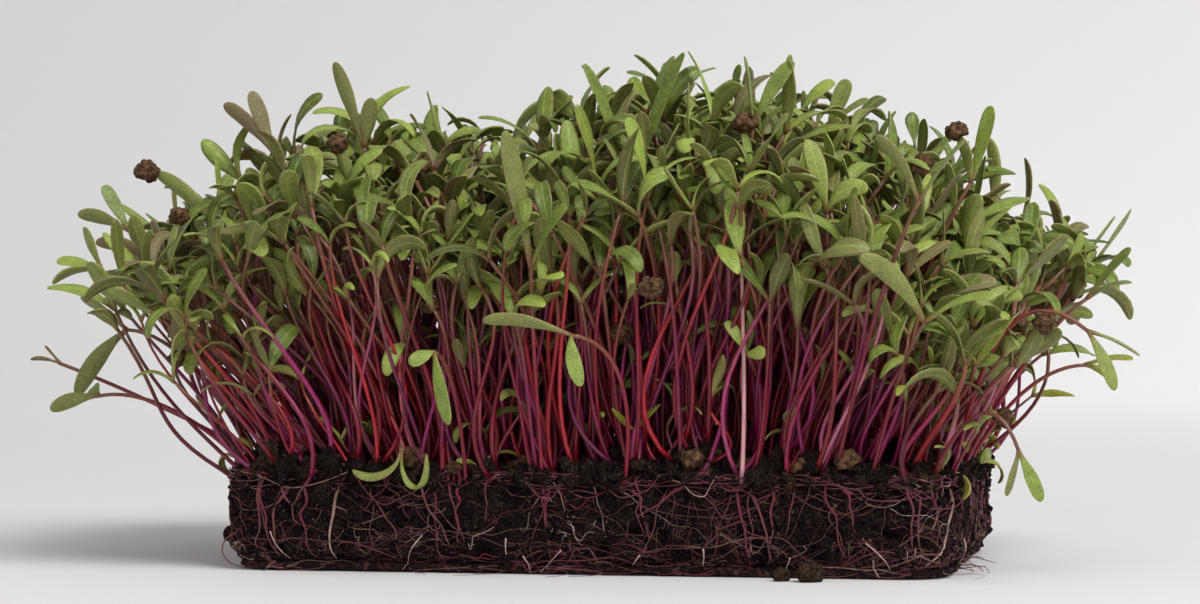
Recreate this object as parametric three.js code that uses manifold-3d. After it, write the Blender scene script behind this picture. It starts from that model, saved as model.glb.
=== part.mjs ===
// A slab of beet microgreens, turned out of its growing tray: a mat of matted roots, a block of potting
// soil on it, and a dense stand of seedlings that fans out over the block's edges.
// Millimetres, +Z up. The origin is the middle of the slab's underside; the long front face looks along -Y.
import * as THREE from "three";
import { mergeVertices } from "three/addons/utils/BufferGeometryUtils.js";
import Module from "manifold-3d";

const wasm = await Module();
wasm.setup();

// ---- Driving dimensions ----
const SLAB_LENGTH = 156; // X, the front face
const SLAB_DEPTH = 100; // Y
const SOIL_TOP = 21; // the highest of the soil's surface
const SOIL_ROUGHNESS = 2.2; // how far the surface dips below that
const CORNER_RADIUS = 10; // the tray's rounded corners, seen from above
const FOOT_INSET = 2.5; // the tray's rounded floor edge draws the slab's foot in by this much
const MAT_THICKNESS = 2; // roots matted on the tray's floor
const GAP = 0.35; // between pieces that touch

const STAND_RISE = 72; // a full-grown stem above the soil
const LEAN_X = THREE.MathUtils.degToRad(42); // how far the stems at the ends lean out
const LEAN_Y = THREE.MathUtils.degToRad(22); // and those at the front and back
const EDGE_DROOP = 0.1; // share of the height that the end rows lose
const STEM_RADIUS = 0.75;
const BLADE_THICKNESS = 0.8;
const BLADE_WIDTH = 4;
const SINGLE_LEAF_TURN = 0.9; // radians from facing the sky to facing sideways
const LEAF_NECK = 0.98; // where on the stem the seed leaves start, as a share of its length
const ROOT_RADIUS = 3.3; // top of the cone of roots that a seedling pulls out with
const ROOT_DEPTH = 11;
const ROOT_SHOWS = 2; // how far the cone stands out of the soil
const STAND_FOOT = SOIL_TOP + ROOT_SHOWS; // where the stems start to lean

const CLUSTER_COLUMNS = 7;
const CLUSTER_ROWS = 4;
const COLUMN_PITCH = 22;
const ROW_PITCH = 24;
const CLUSTER_REACH = { x: 9, y: 10 }; // a cluster's half width and depth, before the stand fans out
const LEAF_MARGIN = 2.6; // kept between the end of a leaf's middle line and the edge of that reach
const CLUSTER_RISES = [0.56, 0.78, 0.97]; // crowns of a cluster's seedlings, as shares of STAND_RISE
const COLUMN_VIGOUR = [0.95, 1, 0.93, 1, 1.08, 1.05, 0.95]; // the stand is tallest right of its middle
const GOLDEN_ANGLE = Math.PI * (3 - Math.sqrt(5));

const COLOURS = {
  soil: 0x2b1d1a,
  rootMat: 0x6b4a44,
  leaf: 0x728448,
  crumb: 0x33241c,
  husk: 0x5b4632,
};

// ---- Seedlings that stand apart from the crowd ----
// Each grows from a foot [x, y] at the edge of the block or between the clusters. "rise" is its length
// where it leans as the stand does; a stray stem goes over the point "bend" to its "crown". "tips" are the
// ends of its two seed leaves.
const SINGLE_SEEDLINGS = {
  seedling_low_left: {
    foot: [-72, -47], bend: [-88, -38, 38], crown: [-112, -30, 35.5], width: 4.4,
    tips: [[-123, -30, 33], [-115, -25, 38]],
  },
  seedling_hook_left: {
    foot: [-77, -14], bend: [-98, -14, 33], crown: [-127, -14, 43], width: 2.2,
    tips: [[-133, -16, 44], [-131, -12, 47]],
  },
  seedling_hanging_left: {
    foot: [-77, -24], bend: [-92, -23, 52], crown: [-115, -22, 52], width: 5.4,
    tips: [[-120, -22, 36], [-119, -22, 58]],
  },
  seedling_outer_left: {
    foot: [-77, -5], bend: [-96, -7, 48], crown: [-119, -8, 63], width: 4.4,
    tips: [[-129, -10, 66], [-124, -6, 74]],
  },
  seedling_brown_left: {
    foot: [-76, -32], bend: [-84, -29, 46], crown: [-96, -27.5, 64], width: 4.8,
    tips: [[-113, -29, 70], [-101, -26.5, 75]],
  },
  seedling_upper_left: {
    foot: [-74, 4], rise: 70, width: 4,
    tips: [[-129, 4, 77], [-123, 5, 84]],
  },
  seedling_husk_left: {
    foot: [-60, -24], rise: 71, width: 3.4,
    tips: [[-97, -31, 85], [-85, -30, 88]],
  },
  seedling_brown_top: {
    foot: [-50, -24], rise: 73, width: 4.6,
    tips: [[-77, -30, 103], [-83, -31, 100]],
  },
  seedling_tall_left: {
    foot: [-39, -24], rise: 71, width: 5,
    tips: [[-58, -31, 109], [-49, -32, 101]],
  },
  seedling_big_front: {
    foot: [-8, -48.5], rise: 55, width: 5.4,
    tips: [[-12, -67, 92], [2, -72, 76]],
  },
  seedling_top_arch: {
    foot: [7, -24], rise: 73, width: 4.2,
    tips: [[-3, -30, 108], [19, -31, 110]],
  },
  seedling_top_pair: {
    foot: [27, -24], rise: 73, width: 4.8,
    tips: [[32, -32, 109], [42, -28, 108]],
  },
  seedling_top_right: {
    foot: [34, 0], rise: 72, width: 4.8,
    tips: [[55, -2, 101], [50, 2, 106]],
  },
  seedling_right_pair: {
    foot: [56, -24], rise: 67, width: 4,
    tips: [[84, -31, 98], [77.5, -30, 90]],
  },
  seedling_cross_right: {
    foot: [60, -48.5], rise: 46, width: 4.8,
    tips: [[61, -71, 66], [87, -65, 58]],
  },
  seedling_fork_right: {
    foot: [53, -48.5], rise: 64, width: 4.4,
    tips: [[64, -70, 90], [82, -71, 89]],
  },
  seedling_far_right: {
    foot: [77, -30], bend: [86, -31, 42], crown: [104, -33, 58], width: 4.8,
    tips: [[113, -36, 68], [113, -31, 61]],
  },
  seedling_droop_right: {
    foot: [76, -39], bend: [88, -44, 72], crown: [105, -44, 51], width: 5,
    tips: [[110, -45, 39], [115, -43, 46]],
  },
  seedling_level_right: {
    foot: [77, -20], bend: [84, -21, 39], crown: [103, -23, 44], width: 3.2,
    tips: [[113, -25, 45], [109, -19, 40]],
  },
  seedling_low_right: {
    foot: [73, -46], bend: [84, -57, 48], crown: [92, -57, 27], width: 4,
    tips: [[96, -58, 17], [89, -57, 18]],
  },
  seedling_front_pair: {
    foot: [9, -49], bend: [16, -60, 49], crown: [1, -68, 51], width: 4.6,
    tips: [[-16, -70, 53], [5, -73, 40]],
  },
  seedling_front_hanging: {
    foot: [-24, -49], bend: [-26, -54, 46], crown: [-27, -66, 47], width: 4.4,
    tips: [[-23, -70, 32], [-31, -70, 44]],
  },
};

// Seed husks that still cling to the tip of a leaf, the first or second of their holder's pair.
const HELD_HUSKS = {
  seed_husk_left: { holder: "seedling_husk_left", leaf: 0, radius: 2.5 },
  seed_husk_right: { holder: "seedling_right_pair", leaf: 1, radius: 2.4 },
};

// ---- Moving between three.js geometry and manifold-3d solids ----

/** A closed BufferGeometry as a manifold-3d solid. */
function solidOf(geometry) {
  const bare = new THREE.BufferGeometry().setAttribute("position", geometry.getAttribute("position"));
  bare.setIndex(geometry.index);
  const merged = mergeVertices(bare, 1e-4);
  const mesh = new wasm.Mesh({
    numProp: 3,
    vertProperties: merged.attributes.position.array,
    triVerts: new Uint32Array(merged.index.array),
  });
  return new wasm.Manifold(mesh);
}

/** A manifold-3d solid as a BufferGeometry, with each vertex moved by place, a function of a Vector3. */
function geometryOf(solid, place = (point) => point) {
  const mesh = solid.getMesh();
  const points = new Float32Array(mesh.numVert * 3);
  for (let i = 0; i < mesh.numVert; i++) {
    const [x, y, z] = mesh.vertProperties.subarray(i * mesh.numProp, i * mesh.numProp + 3);
    points.set(place(new THREE.Vector3(x, y, z)).toArray(), i * 3);
  }
  const geometry = new THREE.BufferGeometry();
  geometry.setAttribute("position", new THREE.BufferAttribute(points, 3));
  geometry.setIndex(new THREE.BufferAttribute(mesh.triVerts, 1));
  geometry.computeVertexNormals();
  return geometry;
}

/** The same geometry with each vertex moved by place. */
function reshape(geometry, place) {
  const positions = geometry.getAttribute("position");
  const point = new THREE.Vector3();
  for (let i = 0; i < positions.count; i++) {
    place(point.fromBufferAttribute(positions, i));
    positions.setXYZ(i, point.x, point.y, point.z);
  }
  return geometry;
}

const union = (solids) => solids.reduce((sum, solid) => sum.add(solid));

// ---- The stand's shape ----

/** A repeatable number from 0 to 1 for the whole numbers a and b. */
function scatter(a, b) {
  const wave = Math.sin(a * 127.1 + b * 311.7) * 43758.5453;
  return wave - Math.floor(wave);
}

/**
 * Where a point of a straight, upright stand goes when the stand leans out towards the block's edges.
 * The lean grows with the square of the distance from the middle, so no two stems that are apart meet.
 */
function fanOut({ x, y, z }) {
  const rise = z - STAND_FOOT;
  if (rise <= 0) return new THREE.Vector3(x, y, z);
  const u = x / (SLAB_LENGTH / 2);
  const v = y / (SLAB_DEPTH / 2);
  const bend = 0.7 + (0.3 * rise) / STAND_RISE;
  const leanX = LEAN_X * u * Math.abs(u) * bend;
  const leanY = LEAN_Y * v * Math.abs(v) * bend;
  return new THREE.Vector3(
    x + rise * Math.sin(leanX),
    y + rise * Math.sin(leanY),
    STAND_FOOT + rise * Math.cos(leanX) * Math.cos(leanY) * (1 - EDGE_DROOP * u * u),
  );
}

/** A stem: a round section, drawn as a polygon, carried along a curve. */
function stem(curve, radius, sides, steps) {
  const corners = Array.from({ length: sides }, (_, i) => {
    const angle = (i / sides) * 2 * Math.PI;
    return new THREE.Vector2(radius * Math.cos(angle), radius * Math.sin(angle));
  });
  return solidOf(new THREE.ExtrudeGeometry(new THREE.Shape(corners), { steps, extrudePath: curve }));
}

/**
 * A seed leaf: a narrow stalk that widens to a blunt blade. A sphere of four sides is drawn out along the
 * curve from the crown to the tip, and its section is as wide as the blade and as thin as its flesh.
 * A blade with no turn faces the sky.
 */
function seedLeaf(crown, tip, width, rings, turn) {
  const reach = tip.clone().sub(crown);
  const knee = crown.clone().addScaledVector(reach, 0.5);
  knee.z += 0.12 * Math.hypot(reach.x, reach.y); // the blade arches upwards
  const curve = new THREE.QuadraticBezierCurve3(crown, knee, tip);
  const blade = new THREE.SphereGeometry(1, 4, rings + 1);
  return solidOf(
    reshape(blade, (point) => {
      const along = Math.acos(THREE.MathUtils.clamp(point.y, -1, 1)) / Math.PI;
      const round = Math.sin(along * Math.PI) || 1;
      const across = point.x / round;
      const through = point.z / round;
      const outline = Math.min(1, 0.25 + 1.15 * along) * Math.sqrt(Math.max(0, 1 - along ** 6));
      const tangent = curve.getTangent(along);
      const side = new THREE.Vector3(-tangent.y, tangent.x, 0);
      if (side.lengthSq() < 1e-4) side.set(1, 0, 0);
      side.normalize().applyAxisAngle(tangent, turn);
      const face = new THREE.Vector3().crossVectors(tangent, side);
      const atPole = along < 1e-6 || along > 1 - 1e-6;
      point.copy(curve.getPoint(along));
      if (atPole) return;
      point.addScaledVector(side, (across * width * outline) / 2);
      point.addScaledVector(face, (through * BLADE_THICKNESS) / 2);
    }),
  );
}

/** The cone of roots below a foot, which grown by the gap is also the socket it leaves in the soil. */
function rootCone(x, y, grown = 0) {
  const cone = new THREE.ConeGeometry(ROOT_RADIUS + grown, ROOT_DEPTH + grown, 5);
  cone.rotateX(-Math.PI / 2);
  cone.translate(x, y, STAND_FOOT - ROOT_DEPTH / 2);
  return solidOf(cone);
}

/** A seedling that stands apart, from its foot in the soil to the tips of its seed leaves. */
function singleSeedling({ foot, rise, bend, crown, tips, width }) {
  const start = new THREE.Vector3(foot[0], foot[1], SOIL_TOP - 1);
  const leaningUp = (share) => fanOut({ x: foot[0], y: foot[1], z: STAND_FOOT + share * rise });
  const through = bend
    ? new THREE.QuadraticBezierCurve3(start, new THREE.Vector3(...bend), new THREE.Vector3(...crown))
    : new THREE.CatmullRomCurve3([start, leaningUp(1 / 3), leaningUp(2 / 3), leaningUp(1)]);
  const neck = through.getPoint(LEAF_NECK);
  const leaves = tips.map((tip) => seedLeaf(neck, new THREE.Vector3(...tip), width, 4, SINGLE_LEAF_TURN));
  return union([rootCone(...foot), stem(through, STEM_RADIUS, 5, bend ? 8 : 5), ...leaves]);
}

/** Where a husk of that radius sits, just past the tip of a seedling's leaf. */
function beyondTip({ foot, rise, tips }, leaf, radius) {
  const crown = fanOut({ x: foot[0], y: foot[1], z: STAND_FOOT + rise });
  const tip = new THREE.Vector3(...tips[leaf]);
  const onwards = tip.clone().sub(crown).setLength(radius * 1.14 + GAP);
  return tip.add(onwards).toArray();
}

/** The seedlings of one patch of the stand: three stems from one foot, each with its pair of seed leaves. */
function cluster({ x, y, vigour }, number) {
  const middle = new THREE.Vector3(x, y, 0);
  const within = (point) => {
    const reach = new THREE.Vector3(CLUSTER_REACH.x - LEAF_MARGIN, CLUSTER_REACH.y - LEAF_MARGIN, Infinity);
    return point.sub(middle).clamp(reach.clone().negate(), reach).add(middle);
  };
  const pieces = [rootCone(middle.x, middle.y)];
  CLUSTER_RISES.forEach((share, k) => {
    const turn = GOLDEN_ANGLE * k + 2 * Math.PI * scatter(number, k);
    const outwards = new THREE.Vector3(Math.cos(turn), Math.sin(turn), 0);
    const height = vigour * STAND_RISE * (share + 0.05 * (scatter(number, k + 10) - 0.5));
    const foot = new THREE.Vector3(middle.x, middle.y, SOIL_TOP - 1).addScaledVector(outwards, 0.8);
    const crown = new THREE.Vector3(middle.x, middle.y, SOIL_TOP + height).addScaledVector(outwards, 3.6);
    const bend = new THREE.Vector3(middle.x, middle.y, SOIL_TOP + height / 2).addScaledVector(outwards, 4.4);
    const curve = new THREE.QuadraticBezierCurve3(foot, bend, crown);
    const neck = curve.getPoint(LEAF_NECK);
    pieces.push(stem(curve, STEM_RADIUS, 4, 3));
    const facing = turn + Math.PI * (0.3 + 0.4 * scatter(number, k + 20));
    for (const side of [1, -1]) {
      const climb = 13 * (scatter(number, 30 + 2 * k + side) - 0.35);
      const tip = crown.clone();
      tip.x += side * 12 * Math.cos(facing);
      tip.y += side * 12 * Math.sin(facing);
      tip.z += climb;
      const bladeTurn = side * (0.3 + 0.7 * scatter(number, k + 40));
      pieces.push(seedLeaf(neck, within(tip), BLADE_WIDTH, 2, bladeTurn));
    }
  });
  return union(pieces);
}

// ---- The slab ----

/** Moves a point of an upright box's plan onto the slab's rounded plan, drawn in by inset. */
function roundPlan(point, inset) {
  const square = new THREE.Vector2(SLAB_LENGTH / 2 - CORNER_RADIUS, SLAB_DEPTH / 2 - CORNER_RADIUS);
  const over = new THREE.Vector2(Math.abs(point.x) - square.x, Math.abs(point.y) - square.y);
  if (over.x > 0 && over.y > 0) {
    over.setLength(Math.max(over.x, over.y));
    point.x = Math.sign(point.x) * (square.x + over.x);
    point.y = Math.sign(point.y) * (square.y + over.y);
  }
  point.x *= 1 - inset / (SLAB_LENGTH / 2);
  point.y *= 1 - inset / (SLAB_DEPTH / 2);
}

/** The soil: an upright block with rounded corners, a drawn-in foot and an uneven surface. */
function soilBlock(sockets) {
  const levels = [MAT_THICKNESS + GAP, MAT_THICKNESS + 3, SOIL_TOP - 4, SOIL_TOP]; // bottom to top
  const insets = [FOOT_INSET, 0.6, 0, 0];
  const box = new THREE.BoxGeometry(2, 2, levels.length - 1, 14, 10, levels.length - 1);
  const towardsEdge = (share, half) => Math.sign(share) * half * (1 - (1 - Math.abs(share)) ** 1.4);
  const block = solidOf(
    reshape(box, (point) => {
      const level = Math.round(point.z + (levels.length - 1) / 2);
      point.x = towardsEdge(point.x, SLAB_LENGTH / 2);
      point.y = towardsEdge(point.y, SLAB_DEPTH / 2);
      const swell = Math.sin(point.x / 9 + 1) * Math.sin(point.y / 7);
      const waves = swell + 0.6 * Math.sin(point.x / 4 + point.y / 5);
      roundPlan(point, insets[level]);
      point.z = levels[level] - (level === levels.length - 1 ? SOIL_ROUGHNESS * (0.5 - waves / 3.2) : 0);
    }),
  );
  return sockets.reduce((soil, [x, y]) => soil.subtract(rootCone(x, y, GAP)), block);
}

/** The mat of roots that grew along the tray's floor, flat underneath. */
function rootMat() {
  const halfLength = SLAB_LENGTH / 2 - FOOT_INSET;
  const halfDepth = SLAB_DEPTH / 2 - FOOT_INSET;
  const outline = new THREE.Shape();
  outline.moveTo(halfLength, -halfDepth + CORNER_RADIUS);
  for (let i = 0; i < 4; i++) {
    const sign = [[1, 1], [-1, 1], [-1, -1], [1, -1]][i];
    const centre = [sign[0] * (halfLength - CORNER_RADIUS), sign[1] * (halfDepth - CORNER_RADIUS)];
    outline.absarc(...centre, CORNER_RADIUS, (i * Math.PI) / 2, ((i + 1) * Math.PI) / 2, false);
  }
  const bevel = 0.6;
  const mat = new THREE.ExtrudeGeometry(outline, {
    depth: MAT_THICKNESS - 2 * bevel,
    bevelThickness: bevel,
    bevelSize: bevel,
    bevelOffset: -bevel,
    bevelSegments: 1,
    curveSegments: 5,
  });
  mat.translate(0, 0, bevel);
  return solidOf(mat);
}

/** A lump of soil or a seed ball: a ball whose surface is knobbed, resting at or hung about a point. */
function lump(centre, radius, knobs) {
  const ball = new THREE.IcosahedronGeometry(radius, 1);
  return solidOf(
    reshape(ball, (point) => {
      const { x, y, z } = point.clone().divideScalar(radius);
      point.multiplyScalar(1 + 0.14 * Math.sin(5 * x + knobs) * Math.cos(4 * y) * Math.sin(6 * z));
      point.z *= 0.9;
      point.add(new THREE.Vector3(...centre));
    }),
  );
}

// ---- The assembly ----

const part = new THREE.Group();

/** Adds a named mesh of its own material to the part. */
function addPiece(name, geometry, colour, roughness = 0.8) {
  const material = new THREE.MeshStandardMaterial({ color: colour, roughness, metalness: 0 });
  const mesh = new THREE.Mesh(geometry, material);
  mesh.name = name;
  part.add(mesh);
}

const clusterFeet = [];
for (let row = 0; row < CLUSTER_ROWS; row++) {
  for (let column = 0; column < CLUSTER_COLUMNS; column++) {
    clusterFeet.push({
      name: `cluster_row${row + 1}_place${column + 1}`,
      x: (column - (CLUSTER_COLUMNS - 1) / 2) * COLUMN_PITCH,
      y: (row - (CLUSTER_ROWS - 1) / 2) * ROW_PITCH,
      vigour: COLUMN_VIGOUR[column],
    });
  }
}
const singleFeet = Object.values(SINGLE_SEEDLINGS).map(({ foot }) => foot);
const allFeet = [...clusterFeet.map(({ x, y }) => [x, y]), ...singleFeet];

addPiece("root_mat", geometryOf(rootMat()), COLOURS.rootMat, 0.9);
addPiece("soil_block", geometryOf(soilBlock(allFeet)), COLOURS.soil, 0.95);
clusterFeet.forEach((foot, number) => {
  addPiece(foot.name, geometryOf(cluster(foot, number), fanOut), COLOURS.leaf, 0.55);
});
for (const [name, seedling] of Object.entries(SINGLE_SEEDLINGS)) {
  addPiece(name, geometryOf(singleSeedling(seedling)), COLOURS.leaf, 0.55);
}

for (const [name, { holder, leaf, radius }] of Object.entries(HELD_HUSKS)) {
  const centre = beyondTip(SINGLE_SEEDLINGS[holder], leaf, radius);
  addPiece(name, geometryOf(lump(centre, radius, leaf + 1)), COLOURS.husk, 0.9);
}
addPiece("seed_husk_front", geometryOf(lump([-36, -47.5, 24.2], 2.6, 3)), COLOURS.husk, 0.9);
addPiece("soil_crumb_large", geometryOf(lump([49, -56, 2.5], 2.6, 4)), COLOURS.crumb, 0.95);
addPiece("soil_crumb_small", geometryOf(lump([43, -55, 1.7], 1.7, 5)), COLOURS.crumb, 0.95);

export default part;
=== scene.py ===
"""A slab of red-stemmed beet microgreens, turned out of its tray and stood on a pale table.

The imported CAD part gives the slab's box, where each cluster of seedlings roots and how it leans, and the
course of every seedling that stands apart. Each piece here is grown around those with numpy.
"""

import math

import bpy
import numpy as np
from bpy.props import FloatProperty, FloatVectorProperty, IntProperty, PointerProperty
from bpy.types import Operator, Panel, PropertyGroup
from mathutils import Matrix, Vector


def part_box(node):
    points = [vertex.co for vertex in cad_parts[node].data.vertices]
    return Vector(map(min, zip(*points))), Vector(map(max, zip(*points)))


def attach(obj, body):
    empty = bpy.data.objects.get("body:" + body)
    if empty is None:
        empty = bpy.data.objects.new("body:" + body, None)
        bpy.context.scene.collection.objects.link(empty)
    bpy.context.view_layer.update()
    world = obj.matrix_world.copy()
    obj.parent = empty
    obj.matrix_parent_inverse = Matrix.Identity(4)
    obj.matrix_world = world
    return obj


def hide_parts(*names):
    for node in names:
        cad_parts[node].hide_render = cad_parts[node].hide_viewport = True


bl_info = {
    "name": "Beet Microgreens",
    "version": (1, 0, 0),
    "blender": (4, 5, 0),
    "location": "3D View > Sidebar > Microgreens",
    "description": "Grows a block of beet microgreens around its CAD frame",
    "category": "Object",
}

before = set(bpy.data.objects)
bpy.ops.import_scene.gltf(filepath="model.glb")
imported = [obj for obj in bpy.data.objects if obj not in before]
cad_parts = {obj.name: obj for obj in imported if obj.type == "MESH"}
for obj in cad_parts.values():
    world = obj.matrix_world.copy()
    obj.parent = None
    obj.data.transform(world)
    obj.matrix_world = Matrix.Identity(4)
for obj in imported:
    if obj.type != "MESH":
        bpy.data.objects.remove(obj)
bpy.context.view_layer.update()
MM = 0.001
SOIL_LOW, SOIL_HIGH = (np.array(corner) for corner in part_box("soil_block"))
MAT_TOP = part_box("root_mat")[1][2]
CLUSTERS = sorted(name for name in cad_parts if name.startswith("cluster_"))
SINGLES = sorted(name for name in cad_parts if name.startswith("seedling_"))
HUSKS = sorted(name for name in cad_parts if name.startswith("seed_husk_"))
CORNER_RADIUS = 10 * MM
TOP_EDGE_RADIUS = 2.4 * MM
FOOT_INSET = 2.5 * MM
# Once round the slab's outline.
ROUND_THE_SLAB = 495 * MM
# How much of its flat width a blade shows, as it curls.
CURLED_WIDTH = 0.8
UP = np.array([0.0, 0.0, 1.0])
# What each random generator starts from.
SOIL_SEED, ROOT_SEED, CROWD_SEED, FALLEN_SEED = 3, 8, 20, 21
LONE_SEED, HELD_HUSK_SEED, LYING_HUSK_SEED = 12, 6, 5
# Where round the slab's outline the thickest webs of fine roots are, from 0 to 1.
ROOT_WEBS = np.array([0.03, 0.21, 0.34, 0.47, 0.60, 0.665, 0.745, 0.815, 0.875, 0.90])
# How tall the stand is from its left end (-1) to its right end (1), as a share of the CAD clusters' height.
VIGOUR = (
    (-1, -0.75, -0.5, -0.25, -0.08, 0.12, 0.35, 0.55, 0.75, 0.88, 1),
    (0.88, 0.99, 1.16, 0.88, 1.04, 1.08, 1.02, 0.92, 0.84, 0.85, 0.76),
)
# Where seed husks hang near the front of the stand, in millimetres along X and up. Each is held by the leaf
# tip that is nearest.
HUSK_SPOTS = np.array([
    (-54, 90), (-89, 73), (-53, 75), (29, 80), (37, 96), (59, 73), (46, 78), (90, 38),
    (-17, 70), (-58, 50), (-88, 44), (-40, 84), (8, 85), (70, 84), (18, 60), (-75, 62),
    (72, 55), (88, 50), (96, 55), (60, 62), (4, 48), (-60, 62), (-34, 56), (-92, 52),
])

# What is particular about a seedling that stands apart: how far its leaves are browned and yellowed, the
# turn of its two blades about their own length in degrees, and their flat width in millimetres.
PARTICULARS = {
    "seedling_brown_left": {"brown": 0.8, "turns": (75, 60), "width": 4.4},
    "seedling_brown_top": {"brown": 0.9, "turns": (70, -60), "width": 4.4},
    "seedling_hook_left": {"brown": 0.7, "turns": (60, 60), "width": 1.5},
    "seedling_level_right": {"yellow": 0.35, "turns": (30, 60), "width": 3.2},
    "seedling_hanging_left": {"turns": (80, 40), "width": 5.0},
    "seedling_big_front": {"turns": (80, 70), "width": 5.6},
    "seedling_right_pair": {"turns": (75, 30), "width": 5.0},
    "seedling_cross_right": {"turns": (65, 30), "width": 5.0},
    "seedling_top_right": {"brown": 0.25, "turns": (70, 35), "width": 4.8},
    "seedling_droop_right": {"brown": 0.35, "turns": (60, 10), "width": 3.6},
    "seedling_far_right": {"brown": 0.1, "turns": (55, 15), "width": 3.8},
    "seedling_fork_right": {"turns": (60, 25), "width": 3.8},
    "seedling_low_right": {"turns": (60, 25), "width": 3.6},
    "seedling_front_pair": {"turns": (60, 25), "width": 4.0},
}
USUAL_PARTICULARS = {"brown": 0.0, "yellow": 0.0, "turns": (70, -45), "width": 4.3}


def linear(code):
    """The linear colour of an sRGB hex code such as #7c1730."""
    channels = np.array([int(code[i : i + 2], 16) for i in (1, 3, 5)]) / 255
    return tuple(np.where(channels <= 0.04045, channels / 12.92, ((channels + 0.055) / 1.055) ** 2.4))


# ---- Sizes and colours a user would change ----


def colour_property(name, code, description):
    return FloatVectorProperty(
        name=name, description=description, subtype="COLOR", size=3, min=0, max=1, default=linear(code)
    )


def length_property(name, millimetres, description):
    return FloatProperty(name=name, description=description, default=millimetres * MM, min=0, unit="LENGTH")


def count_property(name, count, most, description):
    return IntProperty(name=name, description=description, default=count, min=0, max=most)


class StandSettings(PropertyGroup):
    """The crowd of seedlings."""

    seedlings: count_property("Seedlings", 1560, 2000, "How many stand in the crowd")
    stem_width: length_property("Stem width", 0.95, "Across a stem at its middle")
    leaf_length: length_property("Leaf length", 15, "From the crown to the tip of a full-grown seed leaf")
    leaf_width: length_property("Leaf width", 3.85, "Across a full-grown seed leaf")
    leaf_thickness: length_property("Leaf thickness", 0.55, "Through the flesh of a seed leaf")
    green_dark: colour_property("Deep green", "#3b4d14", "The darkest healthy leaves")
    green_light: colour_property("Light green", "#9db052", "The palest healthy leaves")
    brown_leaf: colour_property("Browned leaf", "#7a6c4c", "Leaves flushed with red, which look brown")
    yellow_leaf: colour_property("Yellow leaf", "#b9b445", "Small leaves grown in the shade")
    stem_crimson: colour_property("Crimson stem", "#7c1028", "The usual stem")
    stem_scarlet: colour_property("Scarlet stem", "#b0222a", "Stems on the red side")
    stem_magenta: colour_property("Magenta stem", "#8c1f5c", "Stems on the violet side")
    stem_pale: colour_property("Pale stem", "#d0a0a4", "The odd stem with little pigment")
    pale_stem_foot: FloatVectorProperty(
        name="Pale stem's foot",
        description="Where the palest stem stands",
        default=(34 * MM, -49 * MM),
        size=2,
        unit="LENGTH",
    )
    husk: colour_property("Seed husk", "#5a402b", "The corky seed balls")
    husk_light: colour_property("Seed husk ridges", "#8b6b4d", "The rubbed ridges of the seed balls")


class SlabSettings(PropertyGroup):
    """The soil and the roots."""

    crumbs: count_property("Crumbs", 5000, 5400, "Crumbs on the slab's faces")
    clods: count_property("Clods", 300, 600, "Larger lumps on the slab")
    rim_clods: count_property("Rim clods", 420, 700, "Lumps along the top edge")
    face_roots: count_property("Face roots", 420, 900, "Fine roots on the slab's sides")
    # Dark and light soil are the peat's own colours; potting_soil also deepens them in the hollows as
    # painted shade and lightens them on the knobs as painted light.
    soil_dark: colour_property("Dark soil", "#1a0f0d", "Wet peat in the hollows")
    soil_light: colour_property("Light soil", "#3f2f2a", "Drier peat on the knobs")
    soil_dry: colour_property("Dry soil", "#6b5540", "Lumps of dry peat and husk")
    fleck: colour_property("Fleck", "#8d7472", "Bits of bark and sand")
    root_cream: colour_property("Young root", "#c4aa9c", "Fine white roots, a little soiled")
    root_pink: colour_property("Pink root", "#6d4646", "Fine roots that take up the beet's red")
    root_crimson: colour_property("Tap root", "#6c1c36", "The thick roots below each stem")


class StageSettings(PropertyGroup):
    """The table and the camera."""

    table: colour_property("Table", "#e9e8e8", "Matt white board")
    camera_turn: FloatProperty(
        name="Camera turn",
        description="To the right of the front face",
        default=math.radians(11),
        subtype="ANGLE",
    )
    camera_distance: length_property("Camera distance", 750, "From the slab's middle")
    camera_height: length_property("Camera height", 57, "Above the table")
    camera_shift: FloatProperty(
        name="Camera aside", description="Left of the slab's middle", default=5.2 * MM, unit="LENGTH"
    )
    lens: FloatProperty(name="Lens", description="Focal length in millimetres", default=101.1, min=10)


# ---- Random fields and curves ----


def unit(vectors):
    """Vectors scaled to length one."""
    return vectors / np.maximum(np.linalg.norm(vectors, axis=-1, keepdims=True), 1e-12)


def smoothstep(low, high, value):
    share = np.clip((value - low) / (high - low), 0, 1)
    return share * share * (3 - 2 * share)


def field(points, cell, seed):
    """A smooth random value from -1 to 1: one value is hashed at each corner of cubes of side cell, and the
    eight round a point are blended by smoothstep."""
    place = points / cell + 31.7 * seed
    corner = np.floor(place).astype(np.int64)
    share = place - corner
    share = share * share * (3 - 2 * share)
    total = np.zeros(points.shape[:-1])
    for step in np.ndindex(2, 2, 2):
        key = (corner + step) @ np.array([73856093, 19349663, 83492791]) + 7919 * seed
        key = ((key ^ (key >> 13)) * 1274126177) & 0x7FFFFFFF
        key = (key ^ (key >> 15)) % 65521
        weight = np.prod(np.where(np.array(step) == 1, share, 1 - share), axis=-1)
        total += (key / 32760.0 - 1) * weight
    return total


def rough(points, cell, octaves, seed):
    """Fields added up, each of half the cell and half the height of the one before."""
    return sum(field(points, cell / 2**k, seed + k) / 2**k for k in range(octaves))


def bezier(control, share):
    """Points on many Bezier curves by de Casteljau's rule: neighbours are blended until one point is left.
    control is curves x points x 3, and the result curves x shares x 3."""
    level = np.repeat(control[:, None], len(share), axis=1)
    weight = share[None, :, None, None]
    while level.shape[2] > 1:
        level = level[:, :, :-1] * (1 - weight) + level[:, :, 1:] * weight
    return level[:, :, 0]


def turned(vectors, axes, angles):
    """Vectors turned about unit axes by angles in radians (Rodrigues' rule)."""
    cosine, sine = np.cos(angles)[..., None], np.sin(angles)[..., None]
    along = np.sum(vectors * axes, axis=-1, keepdims=True)
    return vectors * cosine + np.cross(axes, vectors) * sine + axes * along * (1 - cosine)


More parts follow.
